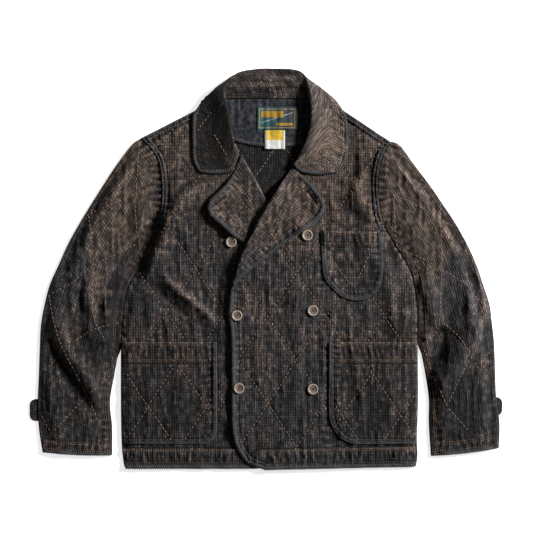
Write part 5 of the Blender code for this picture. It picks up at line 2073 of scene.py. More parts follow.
class Seats:
    """Finds the topmost cloth over any place of the plan."""

    def __init__(self, pieces: dict[str, bpy.types.Object]) -> None:
        """Gathers the faces of every piece.

        Args:
            pieces: the pieces by the name of the node that each stands for.
        """
        points, faces, self.owners = [], [], []
        for name, piece in pieces.items():
            start = len(points)
            points += [vertex.co.copy() for vertex in piece.data.vertices]
            faces += [[start + i for i in face.vertices] for face in piece.data.polygons]
            self.owners += [name] * len(piece.data.polygons)
        self.tree = BVHTree.FromPolygons(points, faces)

    def under(self, x: float, y: float) -> tuple[float, str]:
        """The height of the topmost cloth and whose it is.

        Args:
            x: the place on the plan.
            y: the place on the plan.

        Returns:
            The height in millimetres and the piece's name, which is empty where there is none.
        """
        above = Vector((x * MM, (y - MIDDLE_Y) * MM, SKY))
        spot, _, face, _ = self.tree.ray_cast(above, Vector((0, 0, -1)))
        return (0.0, "") if spot is None else (spot.z / MM, self.owners[face])


@dataclass(frozen=True)
class Thread:
    """A kind of stitch: its length, the gap to the next one, and how thick it stands."""

    long: float
    gap: float
    wide: float
    high: float
    finish: Finish


QUILTING = Thread(6.4, 1.9, 1.9, 1.5, Finish.QUILTING)
SEAM = Thread(3.1, 1.2, 1.1, 0.9, Finish.SEAM)
RUST = Thread(3.4, 1.3, 1.5, 1.1, Finish.RUST)


@dataclass
class Stitcher:
    """Lays rows of stitches on the cloth, each one a copy of the same small grain."""

    room: Workroom
    seats: Seats
    grain: Array = field(default_factory=lambda: np.zeros((0, 3)))
    faces: list[list[int]] = field(default_factory=list)
    laid: dict[tuple[str, Finish], list[Array]] = field(default_factory=dict)

    def __post_init__(self) -> None:
        """Models the grain, a small ball with its poles along X."""
        bpy.ops.object.select_all(action="DESELECT")
        bpy.ops.mesh.primitive_uv_sphere_add(segments=6, ring_count=4, radius=1.0)
        ball = bpy.context.object
        self.grain = np.array([(v.co.z, v.co.x, v.co.y) for v in ball.data.vertices])
        self.faces = [list(face.vertices) for face in ball.data.polygons]
        bpy.data.objects.remove(ball, do_unlink=True)

    def row(self, owner: str, line: Array, thread: Thread, seed: int = 0) -> None:
        """Sews one row where its piece is on top.

        Args:
            owner: the piece that it is sewn on.
            line: where it runs on the plan.
            thread: the kind of stitch.
            seed: what its small irregularities are drawn from.
        """
        trace = Trace(line)
        random = np.random.default_rng(seed + 7)
        at = random.uniform(0, thread.gap)
        while at + thread.long < trace.length:
            long = thread.long * random.uniform(0.84, 1.14)
            ends = walk(trace.line, np.array([at, at + long / 2, at + long]) / trace.length)
            ends += random.normal(0, 0.16, 2)
            at += long + thread.gap * random.uniform(0.8, 1.25)
            heights = [self.seats.under(x, y) for x, y in ends]
            if all(name == owner for _, name in heights):
                levels = np.array([height for height, _ in heights])
                if np.ptp(levels) < 0.5 * thread.long:
                    self.laid.setdefault((owner, thread.finish), []).append(
                        self.stitch(ends, levels, thread))

    def stitch(self, ends: Array, levels: Array, thread: Thread) -> Array:
        """The points of one stitch.

        Args:
            ends: its start, middle and end on the plan.
            levels: the height of the cloth there.
            thread: the kind of stitch.

        Returns:
            The points.
        """
        way = ends[2] - ends[0]
        t, side, up = self.grain[:, 0], self.grain[:, 1], self.grain[:, 2]
        long = np.linalg.norm(way)
        across = np.array([-way[1], way[0]]) / max(long, 1e-6)
        plan = ends[1] + t[:, None] * way / 2 + side[:, None] * across * thread.wide / 2
        z = (levels[1] + t * (levels[2] - levels[0]) / 2
             + t**2 * ((levels[0] + levels[2]) / 2 - levels[1] - 0.3 * thread.high)
             + up * thread.high / 2 + 0.12 * thread.high)
        return np.column_stack([plan, z])

    def finish(self) -> None:
        """Makes one object of each piece's stitches of a kind."""
        for owner, finish in sorted(self.laid, key=lambda key: (key[0], key[1].value)):
            points = np.concatenate(self.laid[owner, finish])
            faces = [[start + i for i in face] for start in range(0, len(points), len(self.grain))
                     for face in self.faces]
            self.room.sew(f"{owner}_{finish.value}", points, faces, finish)


def plain_mesh(name: str, points: Array, faces: Iterable[Sequence[int]]) -> bpy.types.Object:
    """A smooth object without a map, its points in metres."""
    mesh = bpy.data.meshes.new(name)
    mesh.from_pydata(points.tolist(), [], [list(map(int, face)) for face in faces])
    builder = bmesh.new()
    builder.from_mesh(mesh)
    bmesh.ops.recalc_face_normals(builder, faces=builder.faces)
    builder.to_mesh(mesh)
    builder.free()
    mesh.shade_smooth()
    made = bpy.data.objects.new(name, mesh)
    bpy.context.scene.collection.objects.link(made)
    return made


@dataclass
class Rope:
    """A rope-like overcast edge, its slanting stitches as ridges round a flat tube."""

    half_wide: float = 4.0
    half_high: float = 2.0
    pitch: float = 4.3
    ridge: float = 0.27
    step: float = 0.8
    around: int = 10
    sink: float = 0.9

    def rings(self, path: Array, ups: Array, closed_up: bool = False) -> tuple[Array, list[list[int]]]:
        """Its points and faces along a path.

        Args:
            path: the places along it.
            ups: which way is up at each of them.
            closed_up: whether it runs round to its start.

        Returns:
            The points in millimetres and the faces.
        """
        lengths = np.concatenate([[0.0], np.cumsum(np.linalg.norm(np.diff(path, axis=0), axis=1))])
        count = max(8, round(lengths[-1] / self.step))
        reach = np.linspace(0, lengths[-1], count, endpoint=not closed_up)
        spots = np.stack([np.interp(reach, lengths, path[:, k]) for k in range(3)], 1)
        up = unit(np.stack([np.interp(reach, lengths, ups[:, k]) for k in range(3)], 1))
        ways = unit(np.gradient(spots, axis=0))
        side = unit(np.cross(up, ways))
        angle = np.linspace(0, 2 * math.pi, self.around, endpoint=False)
        waves = np.sin(2 * math.pi * reach[:, None] / self.pitch + 1.6 * np.cos(angle)[None])
        size = 1 + self.ridge * waves
        if not closed_up:
            taper = np.minimum(reach, reach[-1] - reach) / (1.2 * self.half_high)
            size *= np.sqrt(1 - (1 - np.clip(taper, 0.05, 1)) ** 2)[:, None]
        spots = spots - up * self.sink
        points = (spots[:, None] + side[:, None] * (self.half_wide * size * np.cos(angle))[..., None]
                  + up[:, None] * (self.half_high * size * np.sin(angle))[..., None])
        index = np.arange(points.shape[0] * self.around).reshape(-1, self.around)
        if closed_up:
            index = np.vstack([index, index[:1]])
        index = np.hstack([index, index[:, :1]])
        faces = quads(index).tolist()
        if not closed_up:
            faces += [index[0, :-1].tolist(), index[-1, :-1][::-1].tolist()]
        return points.reshape(-1, 3), faces


@dataclass
class Edging:
    """Lays ropes along the edges of pieces."""

    room: Workroom
    seats: Seats

    def along(self, name: str, owner: str, line: Array, rope: Rope, finish: Finish = Finish.EDGE,
              closed_up: bool = False) -> None:
        """A rope that lies along a line of the plan, wherever its piece is on top.

        Args:
            name: its name.
            owner: the piece that it lies on.
            line: where it runs.
            rope: its size.
            finish: its finish.
            closed_up: whether it runs round to its start.
        """
        length = length_of(line)
        spots = walk(line, np.linspace(0, 1, max(4, round(length / 2.0))))
        found = [self.seats.under(x, y) for x, y in spots]
        runs, run = [], []
        for (x, y), (level, on_top) in zip(spots, found):
            if on_top == owner:
                run.append((x, y, level))
            elif run:
                runs.append(run)
                run = []
        runs.append(run)
        points, faces, start = [], [], 0
        for run in (run for run in runs if len(run) > 4):
            path = np.array(run)
            path[:, 2] = softened(path[:, 2])
            ring_points, ring_faces = rope.rings(path, np.tile([0.0, 0.0, 1.0], (len(path), 1)), closed_up)
            faces += [[start + i for i in face] for face in ring_faces]
            points.append(ring_points)
            start += len(ring_points)
        if points:
            self.add(name, np.concatenate(points), faces, finish)

    def add(self, name: str, points: Array, faces: list[list[int]], finish: Finish) -> None:
        """Sews a rope on, none of it below the floor."""
        points[:, 2] = np.maximum(points[:, 2], 0.0)
        self.room.sew(name, points, faces, finish)


def softened(values: Array, turns: int = 3) -> Array:
    """A line of values with its small jumps smoothed away."""
    for _ in range(turns):
        padded = np.pad(values, 1, mode="edge")
        values = (padded[:-2] + 2 * padded[1:-1] + padded[2:]) / 4
    return values


@dataclass
class Sewing:
    """All the sewing that shows: quilting, seam rows, overcast edges, buttonholes and bar tacks."""

    room: Workroom
    collar: Collar
    inset: float = 3.3

    def build(self) -> None:
        """Sews everything."""
        seats = Seats(self.room.cloth)
        stitcher, edging = Stitcher(self.room, seats), Edging(self.room, seats)
        self.quilting(stitcher)
        self.seams(stitcher)
        self.tacks(stitcher)
        stitcher.finish()
        self.edges(edging)
        self.collar_edge(edging)
        self.buttonholes(edging)

    def dress(self) -> None:
        """Gives each piece of sewing its thread."""
        for piece, finish in self.room.sewn:
            self.room.wear(piece, finish)

    def quilting(self, stitcher: Stitcher) -> None:
        """The diamonds of running stitches.

        Args:
            stitcher: what lays them.
        """
        for owner, box in QUILTED.items():
            for number, line in enumerate(LATTICES[owner].rows(*box)):
                stitcher.row(owner, line, QUILTING, 100 + number)
        for owner, rows in HAND_ROWS.items():
            for number, row in enumerate(rows):
                stitcher.row(owner, smooth_line(row), QUILTING, 300 + number)

    def seams(self, stitcher: Stitcher) -> None:
        """The rows of machine stitches beside the seams, at the hems and round the pockets.

        Args:
            stitcher: what lays them.
        """
        for number, (owner, line, distances, thread) in enumerate(seam_rows()):
            for distance in distances:
                stitcher.row(owner, beside(Trace(line), distance).line, thread, 500 + 7 * number)

    def tacks(self, stitcher: Stitcher) -> None:
        """The bar tacks at the pockets' corners and at the hem."""
        for owner, x, y, wide, high in TACKS:
            for k in range(5):
                across = x + wide * (k / 4 - 0.5)
                stitcher.row(owner, smooth_line([(across, y - high / 2), (across, y + high / 2)]),
                             Thread(high * 0.8, 0.4, 1.5, 1.2, Finish.EDGE), 900 + k)

    def edges(self, edging: Edging) -> None:
        """The overcast edges of the fronts, the lapels, the facing and the pockets."""
        rope, cord = Rope(), Rope(half_wide=2.2, half_high=1.0, sink=0.55, pitch=2.9)
        front = joined(OVER_EDGE, OVER_CORNER, HEM_OVER)
        edging.along("left_front_edge", "left_front", beside(Trace(front), self.inset).line, rope)
        hem = smooth_line(HEM_UNDER)
        edging.along("right_front_edge", "right_front", beside(Trace(hem), self.inset).line, rope)
        for name, tip, foot, side in (("right_lapel", UNDER_LAPEL_TIP, UNDER_LAPEL_FOOT, 1),
                                      ("left_lapel", OVER_LAPEL_TIP, OVER_LAPEL_FOOT, -1)):
            outer = rounded_line(joined(tip, foot[::-1]))
            edging.along(name + "_edge", name, beside(Trace(outer), side * self.inset).line, rope)
        facing = smooth_line(FACING_LOWER)
        edging.along("facing_edge", "back_neck_facing", beside(Trace(facing), 2.6).line,
                     Rope(half_wide=3.2, half_high=1.6, sink=0.5))
        for owner, line, side in (("chest_pocket", smooth_line(CHEST_SIDES), 1),
                                  ("left_hip_pocket", smooth_line(LEFT_HIP_SIDES), 1),
                                  ("right_hip_pocket", smooth_line(RIGHT_HIP_SIDES), -1)):
            edging.along(owner + "_cord", owner, beside(Trace(line), side * 2.4).line, cord,
                         Finish.BORDER)
        for name, outer, inner, side in (
                ("right_sleeve", SLEEVE_RIGHT_OUTER, SLEEVE_RIGHT_INNER, 1),
                ("left_sleeve", SLEEVE_LEFT_OUTER, SLEEVE_LEFT_INNER, -1)):
            ends = np.array([outer[-1], inner[-1]], float)
            cuff = smooth_line([tuple(ends[0]), tuple(ends.mean(0) + (0, -2)), tuple(ends[1])])
            edging.along(name + "_cuff_edge", name, beside(Trace(cuff), side * 2.8).line,
                         Rope(half_wide=3.2, half_high=1.7, sink=0.9))

    def collar_edge(self, edging: Edging) -> None:
        """The overcast edge round the collar's ends and along its fall."""
        grid, normals, _, _ = self.collar.surface()
        across, along = run_of(grid, 1), run_of(grid, 0)
        column = int(np.argmin(np.abs(across[0, -1] - across[0] - self.inset)))
        row = int(np.argmin(np.abs(along[:, -1] - self.inset)))
        far = int(np.argmin(np.abs(along[-1, -1] - along[:, -1] - self.inset)))
        first = int(np.argmin(np.abs(across[0] - 20)))
        path = np.concatenate([grid[row, first:column], grid[row:far, column],
                               grid[far, first:column][::-1]])
        ups = np.concatenate([normals[row, first:column], normals[row:far, column],
                              normals[far, first:column][::-1]])
        path = np.stack([softened(path[:, k], 2) for k in range(3)], 1)
        rope = Rope(sink=-0.2)
        edging.add("collar_edge", *rope.rings(path + ups * 0.2, ups), Finish.EDGE)

    def buttonholes(self, edging: Edging) -> None:
        """The worked ends of the buttonholes beside the buttons."""
        turn = np.linspace(0, 2 * math.pi, 40)
        for number, (x, y) in enumerate(BUTTONHOLES, 1):
            line = np.stack([x + 7.0 * np.cos(turn), y + 1.9 * np.sin(turn)], 1)
            edging.along(f"buttonhole_{number}", "left_front", line,
                         Rope(1.15, 0.9, 1.3, 0.2, 0.5, 6, 0.0), Finish.SEAM)


def rounded_line(line: Array, spacing: float = 2.0) -> Array:
    """A line with its corners a little rounded."""
    even = walk(line, np.linspace(0, 1, max(8, round(length_of(line) / spacing))))
    return np.stack([softened(even[:, 0], 5), softened(even[:, 1], 5)], 1)


# Borders of the pockets down one side and up the other, and where rows and tacks are sewn.
CHEST_SIDES = [(104, 72), (105, 40), (107, 0), (111, -16), (120, -30), (142, -50), (167, -58),
               (194, -54), (214, -36), (221, -10), (222, 30), (221, 70)]
LEFT_HIP_SIDES = [(119, -139), (119, -200), (119, -266), (123, -292), (135, -313), (152, -326),
                  (173, -331), (230, -331), (282, -331)]
RIGHT_HIP_SIDES = [(-93, -139), (-93, -220), (-93, -299), (-97, -317), (-107, -327), (-123, -331),
                   (-200, -331), (-270, -331)]
TACKS = [("left_front", 108, -358, 12, 16), ("left_hip_pocket", 125, -142, 7, 6),
         ("right_hip_pocket", -99, -142, 7, 6), ("chest_pocket", 110, 69, 7, 5)]
BUTTONHOLES = [(-38, -84), (-34, -222)]
# The low and high corner of the box that each piece's quilting is sewn in.
QUILTED = {
    "right_front": ((-275, -345), (-20, 300)), "left_front": ((-66, -345), (285, 300)),
    "right_hip_pocket": ((-268, -324), (-102, -178)), "left_hip_pocket": ((128, -324), (284, -178)),
    "back_panel": ((-60, 60), (70, 236)),
}
HAND_ROWS = {
    "right_sleeve": [
        [(-208, 161), (-252, 143), (-312, 117), (-348, 101)],
        [(-248, 49), (-296, 25), (-328, 9), (-368, -23), (-412, -47)],
        [(-242, 225), (-246, 165), (-248, 105), (-244, 57)],
        [(-338, 105), (-332, 69), (-328, 9), (-330, -55), (-324, -99), (-304, -135)],
        [(-414, -47), (-402, -103), (-384, -151), (-356, -206), (-328, -267), (-320, -291)],
        [(-280, -100), (-332, -115), (-376, -147), (-424, -195)],
        [(-296, -200), (-312, -215), (-348, -247), (-404, -307)],
        [(-428, -276), (-408, -311)],
    ],
    "left_sleeve": [
        [(238, 143), (274, 129), (318, 105), (358, 81)],
        [(250, 41), (298, 21), (338, -1), (378, -27), (394, -47), (420, -72)],
        [(332, 135), (332, 69), (334, 5), (331, -59), (326, -115), (302, -135)],
        [(334, -99), (366, -127), (398, -179), (426, -207)],
        [(346, -263), (386, -307)],
        [(420, -20), (414, -57), (405, -133), (372, -194), (346, -255)],
        [(242, 129), (246, 73), (250, 41)],
        [(300, -150), (320, -205), (346, -263)],
    ],
    "collar": [
        [(140, 271), (110, 233), (87, 203)], [(104, 220), (131, 205)],
        [(-99, 258), (-89, 241), (-75, 216)], [(-132, 262), (-118, 282), (-98, 306)],
        [(-20, 350), (2, 366)], [(7, 363), (8, 349), (7, 336)],
    ],
    "chest_pocket": [[(110, 41), (134, 8), (158, -25)], [(201, 41), (186, 8), (170, -25)]],
    "right_lapel": [[(-47, 129), (-17, 99)], [(-84, 128), (-60, 92), (-40, 62)]],
    "left_lapel": [[(29, 114), (16, 76), (8, 59)], [(62, 160), (40, 120), (20, 70), (0, 40)]],
}


def seam_rows() -> list[tuple[str, Array, list[float], Thread]]:
    """Each seam's piece, its line, how far beside it its rows of stitches run, and their thread."""
    edge = joined(OVER_EDGE, OVER_CORNER, HEM_OVER)
    tips = {name: rounded_line(joined(tip, foot[::-1]))
            for name, tip, foot in (("right_lapel", UNDER_LAPEL_TIP, UNDER_LAPEL_FOOT),
                                    ("left_lapel", OVER_LAPEL_TIP, OVER_LAPEL_FOOT))}
    return [
        ("right_front", smooth_line(ARMHOLE_RIGHT), [3.0, 8.4], SEAM),
        ("left_front", smooth_line(ARMHOLE_LEFT), [-3.0, -8.4], SEAM),
        ("right_front", smooth_line(SHOULDER_RIGHT), [-3.0, -8.4], SEAM),
        ("left_front", smooth_line(SHOULDER_LEFT), [3.0, 8.4], SEAM),
        ("right_front", smooth_line(HEM_UNDER), [11.0, 33.0, 37.0], RUST),
        ("left_front", edge, [10.5], SEAM),
        ("left_front", smooth_line(HEM_OVER), [33.0, 37.0], RUST),
        ("left_front", smooth_line(INNER_SEAM), [0.0, 5.0], SEAM),
        ("right_lapel", tips["right_lapel"], [9.5], SEAM),
        ("left_lapel", tips["left_lapel"], [-9.5], SEAM),
        ("chest_pocket", smooth_line(CHEST_SIDES), [5.6, 9.2], SEAM),
        ("left_hip_pocket", smooth_line(LEFT_HIP_SIDES), [5.6, 9.2], SEAM),
        ("right_hip_pocket", smooth_line(RIGHT_HIP_SIDES), [-5.6, -9.2], SEAM),
        ("chest_pocket", smooth_line([(106, 73.5), (219, 71.5)]), [-3.0, -26.0], RUST),
        ("left_hip_pocket", smooth_line([(121, -137), (286, -137)]), [-4.0, -33.0, -38.0], RUST),
        ("right_hip_pocket", smooth_line([(-273, -137), (-95, -137)]), [-4.0, -33.0, -38.0], RUST),
        ("back_neck_facing", smooth_line(FACING_LOWER), [6.6], SEAM),
        ("right_sleeve", smooth_line(SLEEVE_RIGHT_INNER), [-9.0, -12.5], RUST),
        ("left_sleeve", smooth_line(SLEEVE_LEFT_INNER), [9.0, 12.5], RUST),
        ("right_sleeve", smooth_line([(-426, -347), (-360, -352), (-293, -353)]), [8.0, 20.0, 24.0],
         RUST),
        ("left_sleeve", smooth_line([(444, -339), (378, -348), (314, -354)]), [-8.0, -20.0, -24.0],
         RUST),
        ("collar", smooth_line([(-66, 325), (0, 328), (80, 325)]), [4.0, 8.0], SEAM),
    ]


class Value:
    """A shader value that sums and products can be written with."""

    def __init__(self, board: "Board", socket: bpy.types.NodeSocket) -> None:
        """Keeps the socket and the board that its nodes go on."""
        self.board, self.socket = board, socket

    def math(self, operation: str, *others: "Value | float") -> "Value":
        """One math node of this value and others."""
        inputs = {0: self, **dict(enumerate(others, 1))}
        return self.board.node("ShaderNodeMath", {"operation": operation}, inputs)[0]

    def __add__(self, other: "Value | float") -> "Value":
        """The sum."""
        return self.math("ADD", other)

    def __radd__(self, other: float) -> "Value":
        """The sum."""
        return self.math("ADD", other)

    def __sub__(self, other: "Value | float") -> "Value":
        """The difference."""
        return self.math("SUBTRACT", other)

    def __rsub__(self, other: float) -> "Value":
        """The difference, the other way round."""
        return self.math("MULTIPLY", -1.0) + other

    def __mul__(self, other: "Value | float") -> "Value":
        """The product."""
        return self.math("MULTIPLY", other)

    def __rmul__(self, other: float) -> "Value":
        """The product."""
        return self.math("MULTIPLY", other)

    def __truediv__(self, other: "Value | float") -> "Value":
        """The quotient."""
        return self.math("DIVIDE", other)

    def eased(self, low: float, high: float) -> "Value":
        """0 up to low, 1 from high on, with a soft slope between."""
        return self.board.node("ShaderNodeMapRange", {"interpolation_type": "SMOOTHSTEP"},
                               {"Value": self, "From Min": low, "From Max": high})[0]

    def held(self) -> "Value":
        """The value kept between 0 and 1."""
        return self.math("MAXIMUM", 0.0).math("MINIMUM", 1.0)


class Board:
    """A material's nodes, added one by one and joined as they are added."""

    def __init__(self, name: str) -> None:
        """Starts a material with its main shader.

        Args:
            name: the material's name.
        """
        self.material = bpy.data.materials.new(name)
        self.material.use_nodes = True
        self.tree = self.material.node_tree
        self.shader = self.tree.nodes["Principled BSDF"]

    def node(self, kind: str, settings: dict[str, object], inputs: dict[object, object]) -> list[Value]:
        """Adds a node.

        Args:
            kind: its type.
            settings: its own settings.
            inputs: the values or links of its sockets.

        Returns:
            Its outputs.
        """
        made = self.tree.nodes.new(kind)
        for key, setting in settings.items():
            setattr(made, key, setting)
        for key, given in inputs.items():
            self.join(given, made.inputs[key])
        return [Value(self, socket) for socket in made.outputs if socket.enabled]

    def join(self, given: object, socket: bpy.types.NodeSocket) -> None:
        """Links or sets one socket."""
        if isinstance(given, Value):
            self.tree.links.new(given.socket, socket)
        else:
            socket.default_value = given

    def mixed(self, share: Value | float, first: Value | Colour, second: Value | Colour,
              mode: Blend = Blend.MIX) -> Value:
        """A colour between two others.

        Args:
            share: how much of the second.
            first: a colour or a link.
            second: a colour or a link.
            mode: how they are blended.

        Returns:
            The colour.
        """
        made = self.tree.nodes.new("ShaderNodeMix")
        made.data_type = "RGBA"
        made.blend_type = mode.value
        for key, given in (("Factor_Float", share), ("A_Color", first), ("B_Color", second)):
            socket = next(s for s in made.inputs if s.identifier == key)
            self.join(given if isinstance(given, (Value, float)) else (*given, 1.0), socket)
        return Value(self, next(s for s in made.outputs if s.identifier == "Result_Color"))

    def cloth_map(self) -> Value:
        """The cloth's own map, in metres along it."""
        return self.node("ShaderNodeUVMap", {"uv_map": "cloth"}, {})[0]

    def attribute(self, name: str) -> Value:
        """A value that the mesh carries."""
        return self.node("ShaderNodeAttribute", {"attribute_name": name}, {})[2]

    def own_place(self) -> Value:
        """A place on the piece itself, in metres."""
        return self.node("ShaderNodeTexCoord", {}, {})[3]

    def noise(self, place: Value, scale: float, detail: float = 2.0, rough: float = 0.5) -> Value:
        """Soft noise from 0 to 1."""
        return self.node("ShaderNodeTexNoise", {},
                         {"Vector": place, "Scale": scale, "Detail": detail, "Roughness": rough})[0]

    def split(self, place: Value) -> list[Value]:
        """The three numbers of a place."""
        return self.node("ShaderNodeSeparateXYZ", {}, {0: place})

    def bumped(self, height: Value, distance: float, strength: float = 1.0) -> None:
        """Raises the surface by a height, in metres where it is 1."""
        normal = self.node("ShaderNodeBump", {}, {"Height": height, "Distance": distance,
                                                  "Strength": strength})[0]
        self.join(normal, self.shader.inputs["Normal"])

    def finished(self, colour: object, rough: Value | float, **more: object) -> bpy.types.Material:
        """Sets the main shader.

        Args:
            colour: the base colour, as a colour or a link.
            rough: its roughness.
            more: other sockets by name, with spaces as underscores.

        Returns:
            The material.
        """
        given = colour if isinstance(colour, Value) else (*colour, 1.0)
        self.join(given, self.shader.inputs["Base Color"])
        self.join(rough, self.shader.inputs["Roughness"])
        for key, value in more.items():
            self.join(value, self.shader.inputs[key.replace("_", " ")])
        return self.material


@dataclass(frozen=True)
class Sashiko:
    """Rice-grain weave: rows of small raised knots on a darker ground, unevenly overdyed."""

    name: str = "sashiko"
    column: float = 0.0046
    row: float = 0.0054
    ground: tuple[float, float, float] = (0.0062, 0.0058, 0.0062)
    grey: tuple[float, float, float] = (0.056, 0.056, 0.061)
    brown: tuple[float, float, float] = (0.150, 0.108, 0.083)
    dark_brown: tuple[float, float, float] = (0.036, 0.028, 0.024)
    relief: float = 0.0009

    def material(self) -> bpy.types.Material:
        """The finish."""
        board = Board(self.name)
        place = board.cloth_map()
        stray = board.noise(place, 70.0, 1.0)
        fine = board.noise(place, 900.0, 2.0, 0.6)
        x, y, _ = board.split(place)
        dye, wear = board.attribute("overdye"), board.attribute("wear")
        u = (x + (stray - 0.5) * 0.0034) / self.column
        cell_x = u.math("FLOOR")
        column = board.node("ShaderNodeTexWhiteNoise", {"noise_dimensions": "1D"}, {"W": cell_x})[0]
        v = (y + (stray - 0.5) * 0.0026 + (fine - 0.5) * 0.0008) / self.row + column * 0.35
        cell_y = v.math("FLOOR")
        cell = board.node("ShaderNodeCombineXYZ", {}, {0: cell_x, 1: cell_y})[0]
        chance = board.node("ShaderNodeTexWhiteNoise", {"noise_dimensions": "2D"}, {"Vector": cell})[0]
        off_x = (u.math("FRACT") - 0.5) / 0.45
        off_y = (v.math("FRACT") - 0.5) / 0.47
        reach = off_x * off_x + off_y * off_y
        knot = 1.0 - reach.eased(0.30, 1.35)
        streak, pleat, line = (
            board.noise(board.node("ShaderNodeMapping", {}, {0: place, "Scale": scale})[0], 1.0, 2.0, 0.6)
            for scale in ((330.0, 38.0, 1.0), (215.0, 46.0, 1.0), (52.0, 250.0, 1.0)))
        weave = knot * 0.58 + pleat.eased(0.42, 0.58) * 0.46 + line.eased(0.44, 0.60) * 0.16
        tint = (dye + (streak - 0.5) * 0.7 + (chance - 0.5) * 0.55).eased(0.22, 0.88)
        knots = board.mixed(tint, self.grey, self.brown)
        base = board.mixed(dye, self.ground, self.dark_brown)
        shown = (weave * (chance * 0.6 + 0.52) * (fine * 0.7 + 0.55) + streak * 0.26 - 0.22).held()
        cloth = board.mixed(shown, base, knots)
        # The wear attribute picks between a shaded and a lit copy of the cloth: painted shade and painted light along
        # with real wear.
        wear_and_painted_light = (wear * 0.45 + 0.40 + (stray - 0.5) * 0.5).held()
        dark = board.mixed(1.0, cloth, (0.20, 0.20, 0.21), Blend.MULTIPLY)
        light = board.mixed(1.0, cloth, (1.75, 1.72, 1.70), Blend.MULTIPLY)
        colour = board.mixed(wear_and_painted_light, dark, light)
        board.bumped(weave * 0.95 + fine * 0.35, self.relief)
        return board.finished(colour, 0.93, Specular_IOR_Level=0.22, Sheen_Weight=0.06,
                              Sheen_Roughness=0.5)


@dataclass(frozen=True)
class Lining:
    """The dark plain weave of the neck's facing."""

    name: str = "lining"
    colour: tuple[float, float, float] = (0.012, 0.013, 0.016)
    light: tuple[float, float, float] = (0.052, 0.055, 0.064)

    def material(self) -> bpy.types.Material:
        """The finish."""
        board = Board(self.name)
        place = board.cloth_map()
        coarse, fine = board.noise(place, 120.0, 3.0), board.noise(place, 1400.0, 2.0, 0.7)
        # The wear attribute also lightens and darkens the facing, with painted light and shade in it.
        wear_and_painted_light = board.attribute("wear")
        share = (coarse * 2.9 + fine * 0.9 + wear_and_painted_light * 0.6 - 1.57).held()
        board.bumped(fine * 0.5 + coarse * 1.6, 0.0016)
        return board.finished(board.mixed(share, self.colour, self.light), 0.92,
                              Specular_IOR_Level=0.2)


@dataclass(frozen=True)
class Spun:
    """Cotton thread with a little fibre to it."""

    name: str
    colour: tuple[float, float, float]
    light: tuple[float, float, float]

    def material(self) -> bpy.types.Material:
        """The finish."""
        board = Board(self.name)
        place = board.own_place()
        coarse, fine = board.noise(place, 60.0, 2.0), board.noise(place, 1500.0, 2.0, 0.6)
        share = (coarse * 0.9 + fine * 0.6 - 0.3).held()
        board.bumped(fine, 0.0003)
        return board.finished(board.mixed(share, self.colour, self.light), 0.9,
                              Specular_IOR_Level=0.25)


@dataclass(frozen=True)
class Horn:
    """Brownish horn, darker in the dish, with fine streaks."""

    name: str = "horn"
    colour: tuple[float, float, float] = (0.230, 0.175, 0.134)
    streak: tuple[float, float, float] = (0.460, 0.375, 0.300)
    dish: tuple[float, float, float] = (0.085, 0.064, 0.050)

    def material(self) -> bpy.types.Material:
        """The finish."""
        board = Board(self.name)
        place = board.own_place()
        long = board.node("ShaderNodeMapping", {}, {0: place, "Scale": (160.0, 900.0, 160.0)})[0]
        streaks = board.noise(long, 1.0, 3.0, 0.6)
        rim = board.mixed(streaks.eased(0.35, 0.7), self.colour, self.streak)
        colour = board.mixed(board.attribute("dish") * (1.0 - streaks * 0.5), rim, self.dish)
        return board.finished(colour, 0.42, Coat_Weight=0.15, Coat_Roughness=0.3)


@dataclass(frozen=True)
class Woven:
    """A small woven label: a plain ground, a border line, two plain bars and a slanting line.

    Its box is on the cloth's map, in metres.
    """

    name: str
    box: tuple[float, float, float, float]
    ground: tuple[float, float, float] = (0.030, 0.105, 0.110)
    border: tuple[float, float, float] = (0.330, 0.215, 0.070)
    motif: tuple[float, float, float] = (0.400, 0.240, 0.030)
    # The colour of the painted shadow across the label's right part.
    shade: tuple[float, float, float] = (0.040, 0.052, 0.060)
    pale: tuple[float, float, float] = (0.300, 0.330, 0.320)

    def block(self, x: Value, y: Value, box: tuple[float, float, float, float]) -> Value:
        """1 inside a box of the map, 0 outside."""
        x0, y0, x1, y1 = box
        return (x.eased(x0, x0 + 0.0004) * (1.0 - x.eased(x1, x1 + 0.0004))
                * y.eased(y0, y0 + 0.0004) * (1.0 - y.eased(y1, y1 + 0.0004)))

    def material(self) -> bpy.types.Material:
        """The finish."""
        board = Board(self.name)
        place = board.cloth_map()
        x, y, _ = board.split(place)
        x0, y0, x1, y1 = self.box
        half_x, half_y = (x1 - x0) / 2, (y1 - y0) / 2
        off_x = (x - (x0 + half_x)).math("ABSOLUTE")
        off_y = (y - (y0 + half_y)).math("ABSOLUTE")
        margin = (off_x * -1.0 + half_x).math("MINIMUM", off_y * -1.0 + half_y)
        line = ((margin - 0.0042).math("ABSOLUTE") * -1.0).eased(-0.0010, -0.0005)
        upper = self.block(x, y, (x0 + 0.008, y1 - 0.020, x1 - 0.026, y1 - 0.008))
        lower = self.block(x, y, (x0 + 0.036, y0 + 0.008, x1 - 0.008, y0 + 0.013))
        motif = upper + lower
        threads = board.noise(place, 2600.0, 1.0)
        slope = ((x - x0) * 0.32 - (y - y0 - 0.011)).math("ABSOLUTE")
        stroke = (slope * -1.0).eased(-0.0012, -0.0007) * (margin - 0.008).eased(0.0, 0.0005)
        # The ground darkens smoothly towards the label's right: painted shadow.
        ground = board.mixed(((x - x0 - half_x) * 30.0 + 0.5).held(), self.ground, self.shade)
        plain = board.mixed(stroke * (1.0 - motif), board.mixed(motif, ground, self.motif), self.pale)
        colour = board.mixed(line, plain, self.border)
        shaded = board.mixed(threads * 0.6, colour, (0.35, 0.35, 0.36), Blend.MULTIPLY)
        board.bumped(threads, 0.0002)
        return board.finished(shaded, 0.8, Specular_IOR_Level=0.3)


